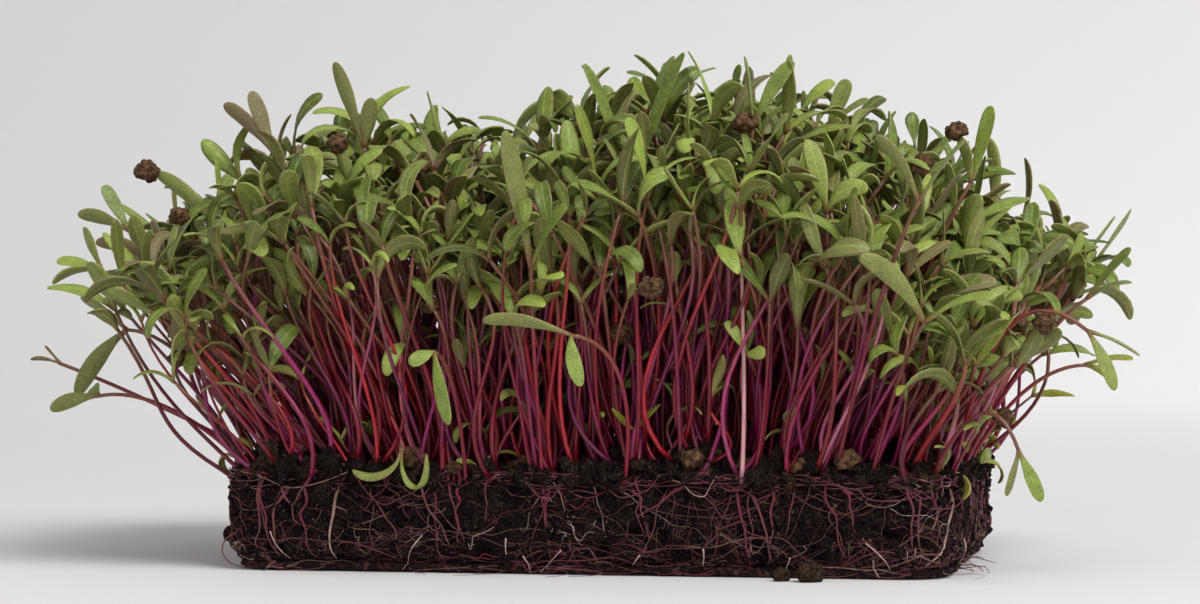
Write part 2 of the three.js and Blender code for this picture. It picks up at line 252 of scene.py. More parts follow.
# ---- Batches: many like closed surfaces, each a stack of rings shut by a point at either end ----


def ring_batch(rings, poles, material=0, **facts):
    """Closed surfaces from rings, bodies x rows x around x 3 and counter-clockwise seen from the last row,
    and poles, bodies x 2 x 3. Neighbouring rings are joined by quads, and each end ring to its pole by
    triangles. Facts are values for every ring point, each kept as a vertex attribute."""
    bodies, rows, around = rings.shape[:3]
    points = np.concatenate([rings.reshape(bodies, -1, 3), poles], axis=1)
    row, place = np.meshgrid(np.arange(rows - 1), np.arange(around), indexing="ij")
    following = (place + 1) % around
    low, high = row * around, (row + 1) * around
    quads = np.stack([low + place, low + following, high + following, high + place], axis=-1).reshape(-1, 4)
    u, v = (row + 1) / (rows + 1), place / around
    du, dv = 1 / (rows + 1), 1 / around
    corners = ((u, v), (u, v + dv), (u + du, v + dv), (u + du, v))
    quad_map = np.stack([np.stack(corner, axis=-1) for corner in corners], axis=2).reshape(-1, 4, 2)
    turn = np.arange(around)
    after, last = (turn + 1) % around, (rows - 1) * around
    first_pole, last_pole = np.full(around, rows * around), np.full(around, rows * around + 1)
    ends = ((first_pole, after, turn), (last_pole, last + turn, last + after))
    tris = np.concatenate([np.stack(end, axis=-1) for end in ends])
    ends = (((0, 0.5), (du, 1), (du, 0)), ((1, 0.5), (1 - du, 0), (1 - du, 1)))
    tri_map = np.concatenate([
        np.stack([np.stack([np.full(around, u), (turn + v) / around], axis=-1) for u, v in end], axis=1)
        for end in ends
    ])
    kept = {}
    for name, values in facts.items():
        values = np.broadcast_to(values, (bodies, rows, around)).astype(float)
        ends = values[:, [0, -1]].mean(axis=-1)
        kept[name] = np.concatenate([values.reshape(bodies, -1), ends], axis=1)
    return {
        "points": points,
        "quads": quads,
        "tris": tris,
        "quad_map": quad_map,
        "tri_map": tri_map,
        "material": material,
        "facts": kept,
    }


def sweep_batch(centres, side_hint, across, through, tips=None, material=0, **facts):
    """A closed outline carried along many paths at once. centres is bodies x rows x 3, and side_hint the
    same or bodies x 3. At each row the outline's points are across along the side, which is the hint made
    square to the path, and through along the path's direction crossed with that side. Both are bodies x rows
    x around."""
    tangent = unit(np.gradient(centres, axis=1))
    hint = side_hint[:, None] if side_hint.ndim == 2 else side_hint
    side = unit(hint - np.sum(hint * tangent, axis=-1, keepdims=True) * tangent)
    face = np.cross(tangent, side)
    rings = centres[:, :, None] + across[..., None] * side[:, :, None]
    rings = rings + through[..., None] * face[:, :, None]
    poles = centres[:, [0, -1]] if tips is None else tips
    return ring_batch(rings, poles, material, **facts)


def tube_batch(centres, radii, around, material=0, **facts):
    """Round tubes along many paths, with radii for each body and row."""
    angle = 2 * np.pi * np.arange(around) / around
    mean = unit(centres[:, -1] - centres[:, 0])
    spare = np.where(np.abs(mean[:, :1]) < 0.7, np.array([[1.0, 0, 0]]), np.array([[0, 1.0, 0]]))
    across = radii[..., None] * np.cos(angle)
    through = radii[..., None] * np.sin(angle)
    return sweep_batch(centres, spare, across, through, None, material, **facts)


def lump_batch(centres, sizes, rows, around, knobbly, seed, cell=0.9, **facts):
    """Balls at centres with the half-widths of sizes (bodies x 3). Their radius swells and shrinks by the
    share knobbly as a random field of the direction does, which differs from ball to ball and has knobs as
    wide as cell."""
    tilt = np.pi * (np.arange(rows) + 1) / (rows + 1)
    turn = 2 * np.pi * np.arange(around) / around
    height, ring = -np.cos(tilt)[:, None], np.sin(tilt)[:, None]
    ways = np.stack([ring * np.cos(turn), ring * np.sin(turn), height + 0 * turn], axis=-1)
    ends = np.array([[0, 0, -1.0], [0, 0, 1.0]])
    away = 13.7 * np.arange(len(centres))[:, None, None, None]
    swell = 1 + knobbly * rough(ways[None] + away, cell, 2, seed)
    end_swell = 1 + knobbly * rough(ends[None, None] + away, cell, 2, seed)[:, 0]
    rings = centres[:, None, None] + sizes[:, None, None] * ways[None] * swell[..., None]
    poles = centres[:, None] + sizes[:, None] * ends[None] * end_swell[..., None]
    return ring_batch(rings, poles, **facts)


def make_piece(name, parts, materials, replaces=(), chosen=None):
    """One mesh object from batches, or from their chosen bodies. Its bake map gives each body a square of
    its own."""
    parts = [(batch, np.ones(len(batch["points"]), bool) if chosen is None else chosen) for batch in parts]
    squares = sum(int(chosen.sum()) for _, chosen in parts)
    columns = math.ceil(math.sqrt(squares))
    names = sorted({key for batch, _ in parts for key in batch["facts"]})
    points, loops, maps, sizes, slots, facts = [], [], [], [], [], {key: [] for key in names}
    offset, square = 0, 0
    for batch, chosen in parts:
        own = batch["points"][chosen]
        count, each = own.shape[:2]
        starts = offset + each * np.arange(count)[:, None, None]
        corner = square + np.arange(count)
        corner = np.stack([corner % columns, corner // columns], axis=-1)[:, None, None]
        for corners, kind, flat in ((4, "quads", "quad_map"), (3, "tris", "tri_map")):
            faces = (batch[kind][None] + starts).reshape(-1)
            loops.append(faces)
            maps.append(((batch[flat][None] * 0.9 + 0.05 + corner) / columns).reshape(-1, 2))
            sizes.append(np.full(len(faces) // corners, corners))
            slots.append(np.full(len(faces) // corners, batch["material"]))
        points.append(own.reshape(-1, 3))
        for key in names:
            values = batch["facts"].get(key)
            facts[key].append(np.zeros(count * each) if values is None else values[chosen].reshape(-1))
        offset += count * each
        square += count
    points, loops, sizes = np.concatenate(points), np.concatenate(loops), np.concatenate(sizes)
    mesh = bpy.data.meshes.new(name)
    mesh.vertices.add(len(points))
    mesh.vertices.foreach_set("co", points.astype(np.float32).ravel())
    mesh.loops.add(len(loops))
    mesh.loops.foreach_set("vertex_index", loops.astype(np.int32))
    mesh.polygons.add(len(sizes))
    mesh.polygons.foreach_set("loop_start", (np.cumsum(sizes) - sizes).astype(np.int32))
    mesh.polygons.foreach_set("material_index", np.concatenate(slots).astype(np.int32))
    mesh.polygons.foreach_set("use_smooth", np.full(len(sizes), True))
    layer = mesh.uv_layers.new(name="OFBake")
    layer.data.foreach_set("uv", np.concatenate(maps).astype(np.float32).ravel())
    for key in names:
        attribute = mesh.attributes.new(key, "FLOAT", "POINT")
        attribute.data.foreach_set("value", np.concatenate(facts[key]).astype(np.float32))
    for material in materials:
        mesh.materials.append(material)
    mesh.update(calc_edges=True)
    if mesh.validate():
        raise RuntimeError(f"{name} has a broken mesh")
    piece = bpy.data.objects.new(name, mesh)
    bpy.context.scene.collection.objects.link(piece)
    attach(piece, "root")
    if replaces:
        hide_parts(*replaces)
    return piece


# ---- Reading the CAD seedlings ----


def welded(node):
    """The points of a CAD node with its doubles merged, and the edges between them."""
    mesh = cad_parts[node].data
    corners = np.empty(len(mesh.vertices) * 3, np.float32)
    mesh.vertices.foreach_get("co", corners)
    edges = np.empty(len(mesh.edges) * 2, np.int32)
    mesh.edges.foreach_get("vertices", edges)
    points, index = np.unique(np.round(corners.reshape(-1, 3).astype(float), 6), axis=0, return_inverse=True)
    return points, index.reshape(-1)[edges].reshape(-1, 2)


def walk(points, edges, start):
    """How far each point is from start along the edges: the lengths are relaxed over all edges until none
    changes."""
    both = np.concatenate([edges, edges[:, ::-1]])
    length = np.linalg.norm(points[both[:, 0]] - points[both[:, 1]], axis=1)
    far = np.full(len(points), np.inf)
    far[start] = 0
    for _ in range(400):
        before = far.copy()
        np.minimum.at(far, both[:, 1], far[both[:, 0]] + length)
        if np.array_equal(before, far):
            break
    return far


def read_seedling(node):
    """The course of a CAD seedling: the four control points of its stem, and its two leaf tips. The tips are
    the ends of the longest walks up from the root, and the crown is where the walks to them part. The
    control points are fitted to the stem's points by least squares."""
    points, edges = welded(node)
    root = int(np.argmin(points[:, 2]))
    far = walk(points, edges, root)
    tips = [int(np.argmax(far))]
    from_tip = walk(points, edges, tips[0])
    tips.append(int(np.argmax(far + from_tip)))
    from_other = walk(points, edges, tips[1])
    shared = (far + from_tip < far[tips[0]] + 1 * MM) & (far + from_other < far[tips[1]] + 1 * MM)
    shared &= points[:, 2] >= SOIL_HIGH[2]
    crown = points[np.where(shared, far, -1).argmax()]
    foot = np.array([points[root, 0], points[root, 1], SOIL_HIGH[2] - 2 * MM])
    course = points[shared]
    share = np.clip(far[shared] / far[shared].max(), 0, 1)[:, None]
    weights = np.hstack([3 * share * (1 - share) ** 2, 3 * share**2 * (1 - share)])
    rest = course - (1 - share) ** 3 * foot - share**3 * crown
    inner = np.linalg.lstsq(weights, rest, rcond=None)[0]
    return np.stack([foot, inner[0], inner[1], crown]), points[tips]


def read_lean():
    """For each CAD cluster, its foot, how far it leans per metre of rise along X and Y, and its height."""
    feet, leans, rises = [], [], []
    for node in CLUSTERS:
        points, _ = welded(node)
        foot = points[points[:, 2].argmin()]
        rise = points[:, 2].max() - SOIL_HIGH[2]
        head = points[points[:, 2] > SOIL_HIGH[2] + 0.55 * rise].mean(axis=0)
        feet.append(foot[:2])
        leans.append((head[:2] - foot[:2]) / (head[2] - SOIL_HIGH[2]))
        rises.append(rise)
    return np.array(feet), np.array(leans), np.array(rises)


# ---- Materials ----

# By number, the inputs of a Mix node are 0 the share and 6 and 7 the two colours. Those of a Map Range node
# are 0 the value, 1 and 2 the range it comes from, and 3 and 4 the range it goes to. A pattern's scale is
# how many of its cells lie in a millimetre.


def add_node(tree, kind, sockets=None, stops=None, out=None, **settings):
    """Adds a shader node and returns its output: the one that out names, or else the first in use. Settings
    are the node's own properties, and stops the colours of a ramp. Sockets are its inputs by name or number,
    each given a value, another node's output or the name of a vertex attribute."""
    node = tree.nodes.new("ShaderNode" + kind)
    for name, value in settings.items():
        setattr(node, name, value)
    for place, value in (sockets or {}).items():
        socket = node.inputs[place]
        if isinstance(value, str):
            value = add_node(tree, "Attribute", out="Fac", attribute_name=value)
        if isinstance(value, bpy.types.NodeSocket):
            tree.links.new(value, socket)
        else:
            socket.default_value = (*value, 1) if socket.type == "RGBA" else value
    if stops:
        elements = node.color_ramp.elements
        while len(elements) < len(stops):
            elements.new(0.5)
        for element, (position, colour) in zip(elements, stops):
            element.position, element.color = position, (*colour, 1)
    return node.outputs[out] if out else next((output for output in node.outputs if output.enabled), None)


def material_from(build, look):
    """The material that carries the name of build, made the first time it is asked for. Build is given the
    node tree, the object's own coordinates and the settings, and returns the shader's inputs."""
    name = build.__name__
    if name not in bpy.data.materials:
        material = bpy.data.materials.new(name)
        material.use_nodes = True
        tree = material.node_tree
        tree.nodes.clear()
        place = add_node(tree, "TexCoord", out="Object")
        surface = add_node(tree, "BsdfPrincipled", build(tree, place, look))
        add_node(tree, "OutputMaterial", {"Surface": surface})
    return bpy.data.materials[name]


def living_leaf(tree, place, look):
    """Seed leaf of a beet: thin living flesh under a cuticle beaded with tiny clear cells, matt green with a
    paler rib and a thin reddish rim. Its fine sandy sparkle comes partly from glossier, bumped cells and
    partly from painted glints, where the cells' grain brightens the colour."""
    blotches = {"Vector": place, "Scale": 0.42 / MM, "Detail": 4, "Roughness": 0.65}
    mottle = add_node(tree, "TexNoise", blotches)
    grain = add_node(tree, "TexNoise", {"Vector": place, "Scale": 2.6 / MM, "Detail": 2, "Roughness": 0.7})
    shade = add_node(tree, "Math", {0: mottle, 1: 0.9, 2: -0.45}, operation="MULTIPLY_ADD")
    shade = add_node(tree, "Math", {0: shade, 1: "tint"}, operation="ADD")
    redder = add_node(
        tree, "Math", {0: "under", 1: 0.45, 2: "brown"}, operation="MULTIPLY_ADD", use_clamp=True
    )
    rib = add_node(tree, "MapRange", {0: "off_rib", 1: 0.02, 2: 0.16, 3: 0.35, 4: 0.0})
    rim = add_node(tree, "MapRange", {0: "off_rib", 1: 0.86, 2: 1.0, 3: 0.0, 4: 0.45})
    stalk = add_node(
        tree, "MapRange", {0: "along", 1: 0.02, 2: 0.22, 3: 0.75, 4: 0.0}, interpolation_type="SMOOTHSTEP"
    )
    green = look.green_dark
    for share, colour in (
        (shade, look.green_light),
        ("yellow", look.yellow_leaf),
        (redder, look.brown_leaf),
        (rib, np.minimum(np.array(look.green_light) * 1.25, 1)),
        (rim, linear("#b08a70")),
        (stalk, linear("#7d4c3c")),
    ):
        green = add_node(tree, "Mix", {0: share, 6: green, 7: colour}, data_type="RGBA")
    # The cells' grain in the colour, brightened by up to a third as painted sparkle.
    cell_grain_and_painted_sparkle = add_node(tree, "MapRange", {0: grain, 1: 0.35, 2: 0.7, 3: 0.72, 4: 1.3})
    green = add_node(tree, "Mix", {0: 1.0, 6: green, 7: cell_grain_and_painted_sparkle}, data_type="RGBA", blend_type="MULTIPLY")
    return {
        "Base Color": green,
        "Roughness": add_node(tree, "MapRange", {0: grain, 1: 0.3, 2: 0.7, 3: 0.56, 4: 0.34}),
        "Normal": add_node(tree, "Bump", {"Strength": 0.55, "Distance": 0.12 * MM, "Height": grain}),
        "Specular IOR Level": 0.36,
        "Subsurface Weight": 0.18,
        "Subsurface Radius": (0.8, 1.0, 0.3),
        "Subsurface Scale": 0.8 * MM,
    }


def beet_stem(tree, place, look):
    """Stem of a beet seedling: a taut, translucent skin full of red pigment. It is smooth and lightly
    glossy, brightest at the soil and turning to a greenish rose below the leaves."""
    stretched = add_node(tree, "Mapping", {"Vector": place, "Scale": (1, 1, 0.12)})
    streaks = add_node(tree, "TexNoise", {"Vector": stretched, "Scale": 1.5 / MM, "Detail": 2})
    patches = add_node(tree, "TexNoise", {"Vector": place, "Scale": 0.11 / MM, "Detail": 3})
    hue = add_node(tree, "Math", {0: patches, 1: 0.5, 2: -0.25}, operation="MULTIPLY_ADD")
    hue = add_node(tree, "Math", {0: hue, 1: "tint"}, operation="ADD", use_clamp=True)
    red = add_node(
        tree, "ValToRGB", {"Fac": hue},
        stops=(
            (0.1, look.stem_magenta), (0.45, look.stem_crimson),
            (0.75, look.stem_crimson), (0.98, look.stem_scarlet),
        ),
    )
    strength = add_node(tree, "MapRange", {0: "flush", 1: 0.0, 2: 0.8, 3: 0.32, 4: 1.55})
    red = add_node(tree, "Mix", {0: 1.0, 6: red, 7: strength}, data_type="RGBA", blend_type="MULTIPLY")
    paleness = add_node(tree, "MapRange", {0: "flush", 1: 0.55, 2: 1.0, 3: 0.0, 4: 0.9})
    red = add_node(tree, "Mix", {0: paleness, 6: red, 7: look.stem_pale}, data_type="RGBA")
    crown = add_node(
        tree, "MapRange", {0: "along", 1: 0.55, 2: 1.0, 3: 0.0, 4: 0.75}, interpolation_type="SMOOTHSTEP"
    )
    red = add_node(tree, "Mix", {0: crown, 6: red, 7: linear("#7a5a3c")}, data_type="RGBA")
    lines = add_node(tree, "MapRange", {0: streaks, 1: 0.3, 2: 0.7, 3: 0.78, 4: 1.18})
    red = add_node(tree, "Mix", {0: 1.0, 6: red, 7: lines}, data_type="RGBA", blend_type="MULTIPLY")
    return {
        "Base Color": red,
        "Normal": add_node(tree, "Bump", {"Strength": 0.25, "Distance": 0.08 * MM, "Height": streaks}),
        "Roughness": 0.33,
        "Specular IOR Level": 0.5,
        "Subsurface Weight": 0.2,
        "Subsurface Radius": (1.0, 0.3, 0.35),
        "Subsurface Scale": 0.7 * MM,
    }


def corky_husk(tree, place, look):
    """Seed ball of a beet: a dry, corky knob of fused flower bases, dull brown with rubbed paler ridges and
    painted shade, near black, in the hollows between its knobs.
    """
    knobs = add_node(tree, "TexNoise", {"Vector": place, "Scale": 0.9 / MM, "Detail": 5, "Roughness": 0.75})
    # The lowest stop darkens the bump's hollows to near black as painted shade.
    husk_browns_and_painted_shade = ((0.38, 0.15 * np.array(look.husk)), (0.5, look.husk), (0.66, look.husk_light))
    return {
        "Base Color": add_node(tree, "ValToRGB", {"Fac": knobs}, stops=husk_browns_and_painted_shade),
        "Normal": add_node(tree, "Bump", {"Strength": 1.0, "Distance": 0.7 * MM, "Height": knobs}),
        "Roughness": 0.85,
        "Specular IOR Level": 0.2,
    }


def potting_soil(tree, place, look):
    """Potting soil: damp peat and bark fibre pressed in a tray, with a few flecks of bark and sand; lumps
    marked dry get a drier brown on their grit. Its hollows are painted near black as shade and its knobs
    painted lighter as light."""
    clods = add_node(tree, "TexNoise", {"Vector": place, "Scale": 0.33 / MM, "Detail": 6, "Roughness": 0.7})
    grit = add_node(tree, "TexNoise", {"Vector": place, "Scale": 1.9 / MM, "Detail": 4, "Roughness": 0.75})
    dark, light = np.array(look.soil_dark), np.array(look.soil_light)
    # Painted light and shade: the grit's low points go near black and its high points half as light again as
    # light soil.
    peats_with_painted_light_and_shade = ((0.38, 0.35 * dark), (0.5, dark), (0.6, light), (0.75, 1.5 * light))
    colour = add_node(tree, "ValToRGB", {"Fac": grit}, stops=peats_with_painted_light_and_shade)
    # Painted shade in the clods' hollows and painted light on their knobs, from the same noise that shapes
    # the bump.
    painted_clod_light_and_shade = add_node(tree, "MapRange", {0: clods, 1: 0.36, 2: 0.66, 3: 0.45, 4: 1.5})
    colour = add_node(tree, "Mix", {0: 1.0, 6: colour, 7: painted_clod_light_and_shade}, data_type="RGBA", blend_type="MULTIPLY")
    dry = add_node(tree, "MapRange", {0: grit, 1: 0.4, 2: 0.65, 3: 0.0, 4: 1.0})
    dry = add_node(tree, "Math", {0: dry, 1: "dry"}, operation="MULTIPLY")
    colour = add_node(tree, "Mix", {0: dry, 6: colour, 7: look.soil_dry}, data_type="RGBA")
    spot = add_node(tree, "TexVoronoi", {"Vector": place, "Scale": 1.05 / MM}, out="Distance")
    near = add_node(tree, "MapRange", {0: spot, 1: 0.2, 2: 0.34, 3: 1.0, 4: 0.0})
    few = add_node(tree, "Math", {0: spot.node.outputs["Color"], 1: 0.8}, operation="GREATER_THAN")
    fleck = add_node(tree, "Math", {0: near, 1: few}, operation="MULTIPLY")
    fleck = add_node(tree, "Math", {0: fleck, 1: grit}, operation="MULTIPLY")
    height = add_node(tree, "Math", {0: clods, 1: 1.4, 2: grit}, operation="MULTIPLY_ADD")
    return {
        "Base Color": add_node(tree, "Mix", {0: fleck, 6: colour, 7: look.fleck}, data_type="RGBA"),
        "Normal": add_node(tree, "Bump", {"Strength": 1.0, "Distance": 1.2 * MM, "Height": height}),
        "Roughness": 0.85,
        "Specular IOR Level": 0.12,
    }


def fine_root(tree, place, look):
    """Roots: a moist, translucent skin, cream where it is young, pink where it takes up the beet's red and
    crimson on the tap roots, with bits of peat stuck to it."""
    soiled = add_node(tree, "TexNoise", {"Vector": place, "Scale": 0.5 / MM, "Detail": 3, "Roughness": 0.7})
    tints = ((0.0, look.root_cream), (0.3, look.root_pink), (0.85, look.root_crimson))
    colour = add_node(tree, "ValToRGB", {"Fac": "tint"}, stops=tints)
    dirt = add_node(tree, "MapRange", {0: soiled, 1: 0.45, 2: 0.68, 3: 0.0, 4: 0.75})
    return {
        "Base Color": add_node(tree, "Mix", {0: dirt, 6: colour, 7: look.soil_light}, data_type="RGBA"),
        "Normal": add_node(tree, "Bump", {"Strength": 0.3, "Distance": 0.1 * MM, "Height": soiled}),
        "Roughness": 0.55,
        "Specular IOR Level": 0.3,
        "Subsurface Weight": 0.15,
        "Subsurface Scale": 0.4 * MM,
    }


def root_felt(tree, place, look):
    """Root mat: roots felted flat against the tray's floor with peat between them."""
    winding = {"Vector": place, "Scale": 0.16 / MM, "Distortion": 14, "Detail": 3, "Detail Scale": 1.6}
    threads = add_node(tree, "TexWave", winding, out="Fac", wave_type="BANDS")
    peat = add_node(tree, "TexNoise", {"Vector": place, "Scale": 0.3 / MM, "Detail": 5, "Roughness": 0.7})
    colour = add_node(tree, "Mix", {0: threads, 6: look.soil_dark, 7: look.root_pink}, data_type="RGBA")
    covered = add_node(tree, "MapRange", {0: peat, 1: 0.36, 2: 0.5, 3: 0.4, 4: 1.0})
    return {
        "Base Color": add_node(tree, "Mix", {0: covered, 6: colour, 7: look.soil_dark}, data_type="RGBA"),
        "Normal": add_node(tree, "Bump", {"Strength": 0.8, "Distance": 0.4 * MM, "Height": threads}),
        "Roughness": 0.8,
        "Specular IOR Level": 0.15,
    }


def matt_board(tree, place, look):
    """White board: painted card with a faint tooth, matt."""
    tooth = add_node(tree, "TexNoise", {"Vector": place, "Scale": 0.9 / MM, "Detail": 2})
    return {
        "Base Color": look.table,
        "Normal": add_node(tree, "Bump", {"Strength": 0.05, "Distance": 0.2 * MM, "Height": tooth}),
        "Roughness": 0.75,
    }


# ---- The slab's shape ----


def outline(share, inset):
    """Points round the slab's plan, share from 0 to 1 counter-clockwise from the middle of the right side
    and drawn in by inset: four quarter circles joined by straight sides, walked at even speed."""
    half = SOIL_HIGH[:2]
    angle = np.linspace(0, np.pi / 2, 13)
    arcs = []
    for quarter, sign in enumerate(((1, 1), (-1, 1), (-1, -1), (1, -1))):
        centre = np.array(sign) * (half - CORNER_RADIUS)
        turn = angle + quarter * np.pi / 2
        arcs.append(centre + CORNER_RADIUS * np.stack([np.cos(turn), np.sin(turn)], axis=-1))
    line = np.concatenate([[[half[0], 0]], *arcs, [[half[0], 0]]])
    way = np.concatenate([[0], np.cumsum(np.linalg.norm(np.diff(line, axis=0), axis=1))])
    at = np.mod(share, 1) * way[-1]
    place = np.stack([np.interp(at, way, line[:, 0]), np.interp(at, way, line[:, 1])], axis=-1)
    drawn_in = 1 - np.asarray(inset)[..., None] / half
    return place * drawn_in


def outwards(places):
    """The level direction straight out of the slab's plan: away from the nearest point of the rectangle that
    its corners are struck from."""
    inner = SOIL_HIGH[:2] - CORNER_RADIUS
    plan = places[..., :2]
    away = unit(plan - np.clip(plan, -inner, inner))
    return np.concatenate([away, np.zeros_like(away[..., :1])], axis=-1)


def wall_inset(height):
    """How far the wall stands in from the slab's plan at a height above the table."""
    share = np.clip((height - SOIL_LOW[2]) / (4 * MM), 0, 1)
    return FOOT_INSET * (1 - share) ** 2


def wall_relief(points, crumbly=1.0):
    """How far the pressed soil stands out of its plain wall: clods, and by the share crumbly also crumbs and
    the odd hollow."""
    clods = rough(points, 9 * MM, 3, 5) * 0.6 * MM
    crumbs = np.abs(field(points, 1.9 * MM, 11)) * 0.9 * MM + field(points, 1.1 * MM, 12) * 0.6 * MM
    hollows = -2.2 * MM * smoothstep(0.25, 0.7, field(points, 4.2 * MM, 14))
    return clods + crumbly * (crumbs + hollows) - 0.35 * MM


def top_height(points):
    """Height of the soil's surface under points, with its dips, mounds and crumbs."""
    flat = points * [1, 1, 0]
    dips = 1.5 * MM * (rough(flat, 16 * MM, 3, 21) - 0.6)
    mounds = 3.4 * MM * smoothstep(0.05, 0.75, field(flat, 7 * MM, 23))
    crumbs = 0.9 * MM * np.abs(field(flat, 2.4 * MM, 25)) + 0.45 * MM * field(flat, 1.2 * MM, 26)
    return SOIL_HIGH[2] + dips + mounds + crumbs - 0.6 * MM


def grid_normals(rings):
    """Outward normals of a stack of rings, from the differences round and up it."""
    up = np.gradient(rings, axis=0)
    round_it = np.roll(rings, -1, axis=1) - np.roll(rings, 1, axis=1)
    return unit(np.cross(round_it, up))


def soil_rings(around, wall_rows, top_rows):
    """The soil as rings: across the underside to the foot, up the wall, over the edge and in to the middle.
    The wall is moved along its normal by its relief, and the surface takes its own height."""
    share = np.arange(around) / around
    round_edge = np.linspace(0, np.pi / 2, 7)[1:]
    inwards = 1 - (np.linspace(0, 1, top_rows) ** 0.85)[1:-1]
    rows = [(FOOT_INSET, SOIL_LOW[2], shrink, 0) for shrink in np.linspace(0.04, 1, 9)[:-1]]
    for height in np.linspace(SOIL_LOW[2], SOIL_HIGH[2] - TOP_EDGE_RADIUS, wall_rows):
        rows.append((wall_inset(height), height, 1, 1))
    for angle in round_edge:
        inset, drop = TOP_EDGE_RADIUS * (1 - math.cos(angle)), TOP_EDGE_RADIUS * (1 - math.sin(angle))
        rows.append((inset, SOIL_HIGH[2] - drop, 1, 1 - angle / (np.pi / 2)))
    rows += [(TOP_EDGE_RADIUS, SOIL_HIGH[2], shrink, 0) for shrink in inwards]
    rings = np.array([
        np.column_stack([outline(share, np.full(around, inset)) * shrink, np.full(around, height)])
        for inset, height, shrink, _ in rows
    ])
    wall = np.array([row[3] for row in rows])[:, None]
    moved = rings + grid_normals(rings) * (wall_relief(rings) * wall)[..., None]
    above = smoothstep(SOIL_HIGH[2] - 2.6 * MM, SOIL_HIGH[2], rings[..., 2])
    moved[..., 2] += above * (1 - wall) * (top_height(rings) - SOIL_HIGH[2])
    return moved


# ---- Growing seedlings ----

LEAF_ROWS = np.array([0.0, 0.07, 0.16, 0.28, 0.41, 0.54, 0.67, 0.79, 0.88, 0.95, 0.988])
FINE_LEAF_ROWS = np.concatenate([np.linspace(0, 0.9, 19), [0.94, 0.97, 0.99]])


def leaf_batch(centres, ends, sides, widths, thickness, cup, rows, around, **facts):
    """Seed leaves along middle lines, shut at their ends. The half-width is a narrow stalk that widens by
    smoothstep to a strap and closes at the tip as a blunt oval does, the section is a thin lens, and the
    blade is dished by the square of the distance from its rib, with slightly wavy sides."""
    widen = 0.28 + 0.72 * smoothstep(0.0, 0.58, rows)
    close = np.sqrt(np.maximum(1 - (np.maximum(rows - 0.58, 0) / 0.42) ** 2.7, 0))
    half = widths[:, None] / 2 * (widen * close)[None]
    angle = 2 * np.pi * np.arange(around) / around
    across = half[..., None] * np.cos(angle)
    flesh = thickness / 2 * (1.7 - 0.7 * smoothstep(0.05, 0.35, rows)) * np.sqrt(close)
    through = flesh[None, :, None] * np.sin(angle) * (1 - 0.35 * np.cos(angle) ** 2)
    waves = 0.05 * np.sin(9 * rows[None, :, None] + 40 * widths[:, None, None] / MM + 3 * np.cos(angle))
    through = through + half[..., None] * (cup[:, None, None] * np.cos(angle) ** 2 + waves * np.cos(angle))
    under = (np.sin(angle) < -1e-6) * 1.0
    return sweep_batch(
        centres, sides, across, through, ends, material=1,
        along=rows[None, :, None], off_rib=np.abs(np.cos(angle)), under=under,
        **{name: values[:, None, None] for name, values in facts.items()},
    )


def stem_batch(control, radii, rows, around, **facts):
    """Stems along cubic curves: a round section that narrows by a fifth towards the crown and swells where
    it comes out of the soil."""
    share = np.linspace(0, 1, rows)
    centres = bezier(control, share)
    taper = 1.08 - 0.22 * share + 0.3 * np.exp(-share * 30)
    uneven = 1 + 0.06 * field(centres, 7 * MM, 31)
    return tube_batch(
        centres, radii[:, None] * taper[None] * uneven, around, material=0,
        along=share[None, :, None],
        **{name: values[:, None, None] for name, values in facts.items()},
    )


def arching_leaves(crowns, growth, length, heading, opening, sway, twist, rows):
    """Middle lines, end points and side directions of leaves. A leaf leaves its crown along the stem and
    opens away from it: the angle between the two goes from the first to the second of opening, and its
    heading about the stem drifts by sway. The line is the running sum of those directions. Its side is
    square to the plane that it opens in, turned about the line by the two twists at its ends, blended along
    it."""
    rows = np.append(rows, 1.0)
    across = unit(np.cross(growth, [0.35, 1.0, 0.1]))
    beside = np.cross(growth, across)

    def sideways(share):
        turn = (heading[:, None] + sway[:, None] * share)[..., None]
        return across[:, None] * np.cos(turn) + beside[:, None] * np.sin(turn)

    def onwards(share):
        angle = (opening[:, :1] + (opening[:, 1:] - opening[:, :1]) * share**1.25)[..., None]
        return growth[:, None] * np.cos(angle) + sideways(share) * np.sin(angle)

    steps = onwards((rows[1:] + rows[:-1]) / 2) * np.diff(rows)[None, :, None] * length[:, None, None]
    lines = crowns[:, None] + np.concatenate([np.zeros_like(steps[:, :1]), np.cumsum(steps, axis=1)], axis=1)
    angles = twist[:, :1] + (twist[:, 1:] - twist[:, :1]) * rows
    sides = turned(np.cross(growth[:, None], sideways(rows)), onwards(rows), angles)
    return lines[:, :-1], np.stack([crowns, lines[:, -1]], axis=1), sides[:, :-1]


def scattered_feet(count, random):
    """Feet spread evenly over the soil: a staggered grid shaken about, with the slab's round corners
    kept."""
    half = SOIL_HIGH[:2] - 1.4 * MM
    shaken = 1.9 * MM
    columns = int(round(math.sqrt(count * half[0] / half[1])))
    rows = int(math.ceil(count / columns))
    index = np.arange(columns * rows)[:count]
    column, row = index % columns, index // columns
    grid = np.stack([(column + 0.5 * (row % 2) + 0.25) / columns, (row + 0.5) / rows], axis=-1) * 2 - 1
    feet = np.clip(grid * half + random.normal(0, shaken, (count, 2)), -half, half)
    corner = np.maximum(np.abs(feet) - (half - CORNER_RADIUS), 0)
    reach = np.linalg.norm(corner, axis=1)
    over = np.maximum(reach - CORNER_RADIUS, 0) / np.maximum(reach, 1e-9)
    return feet - np.sign(feet) * corner * over[:, None]


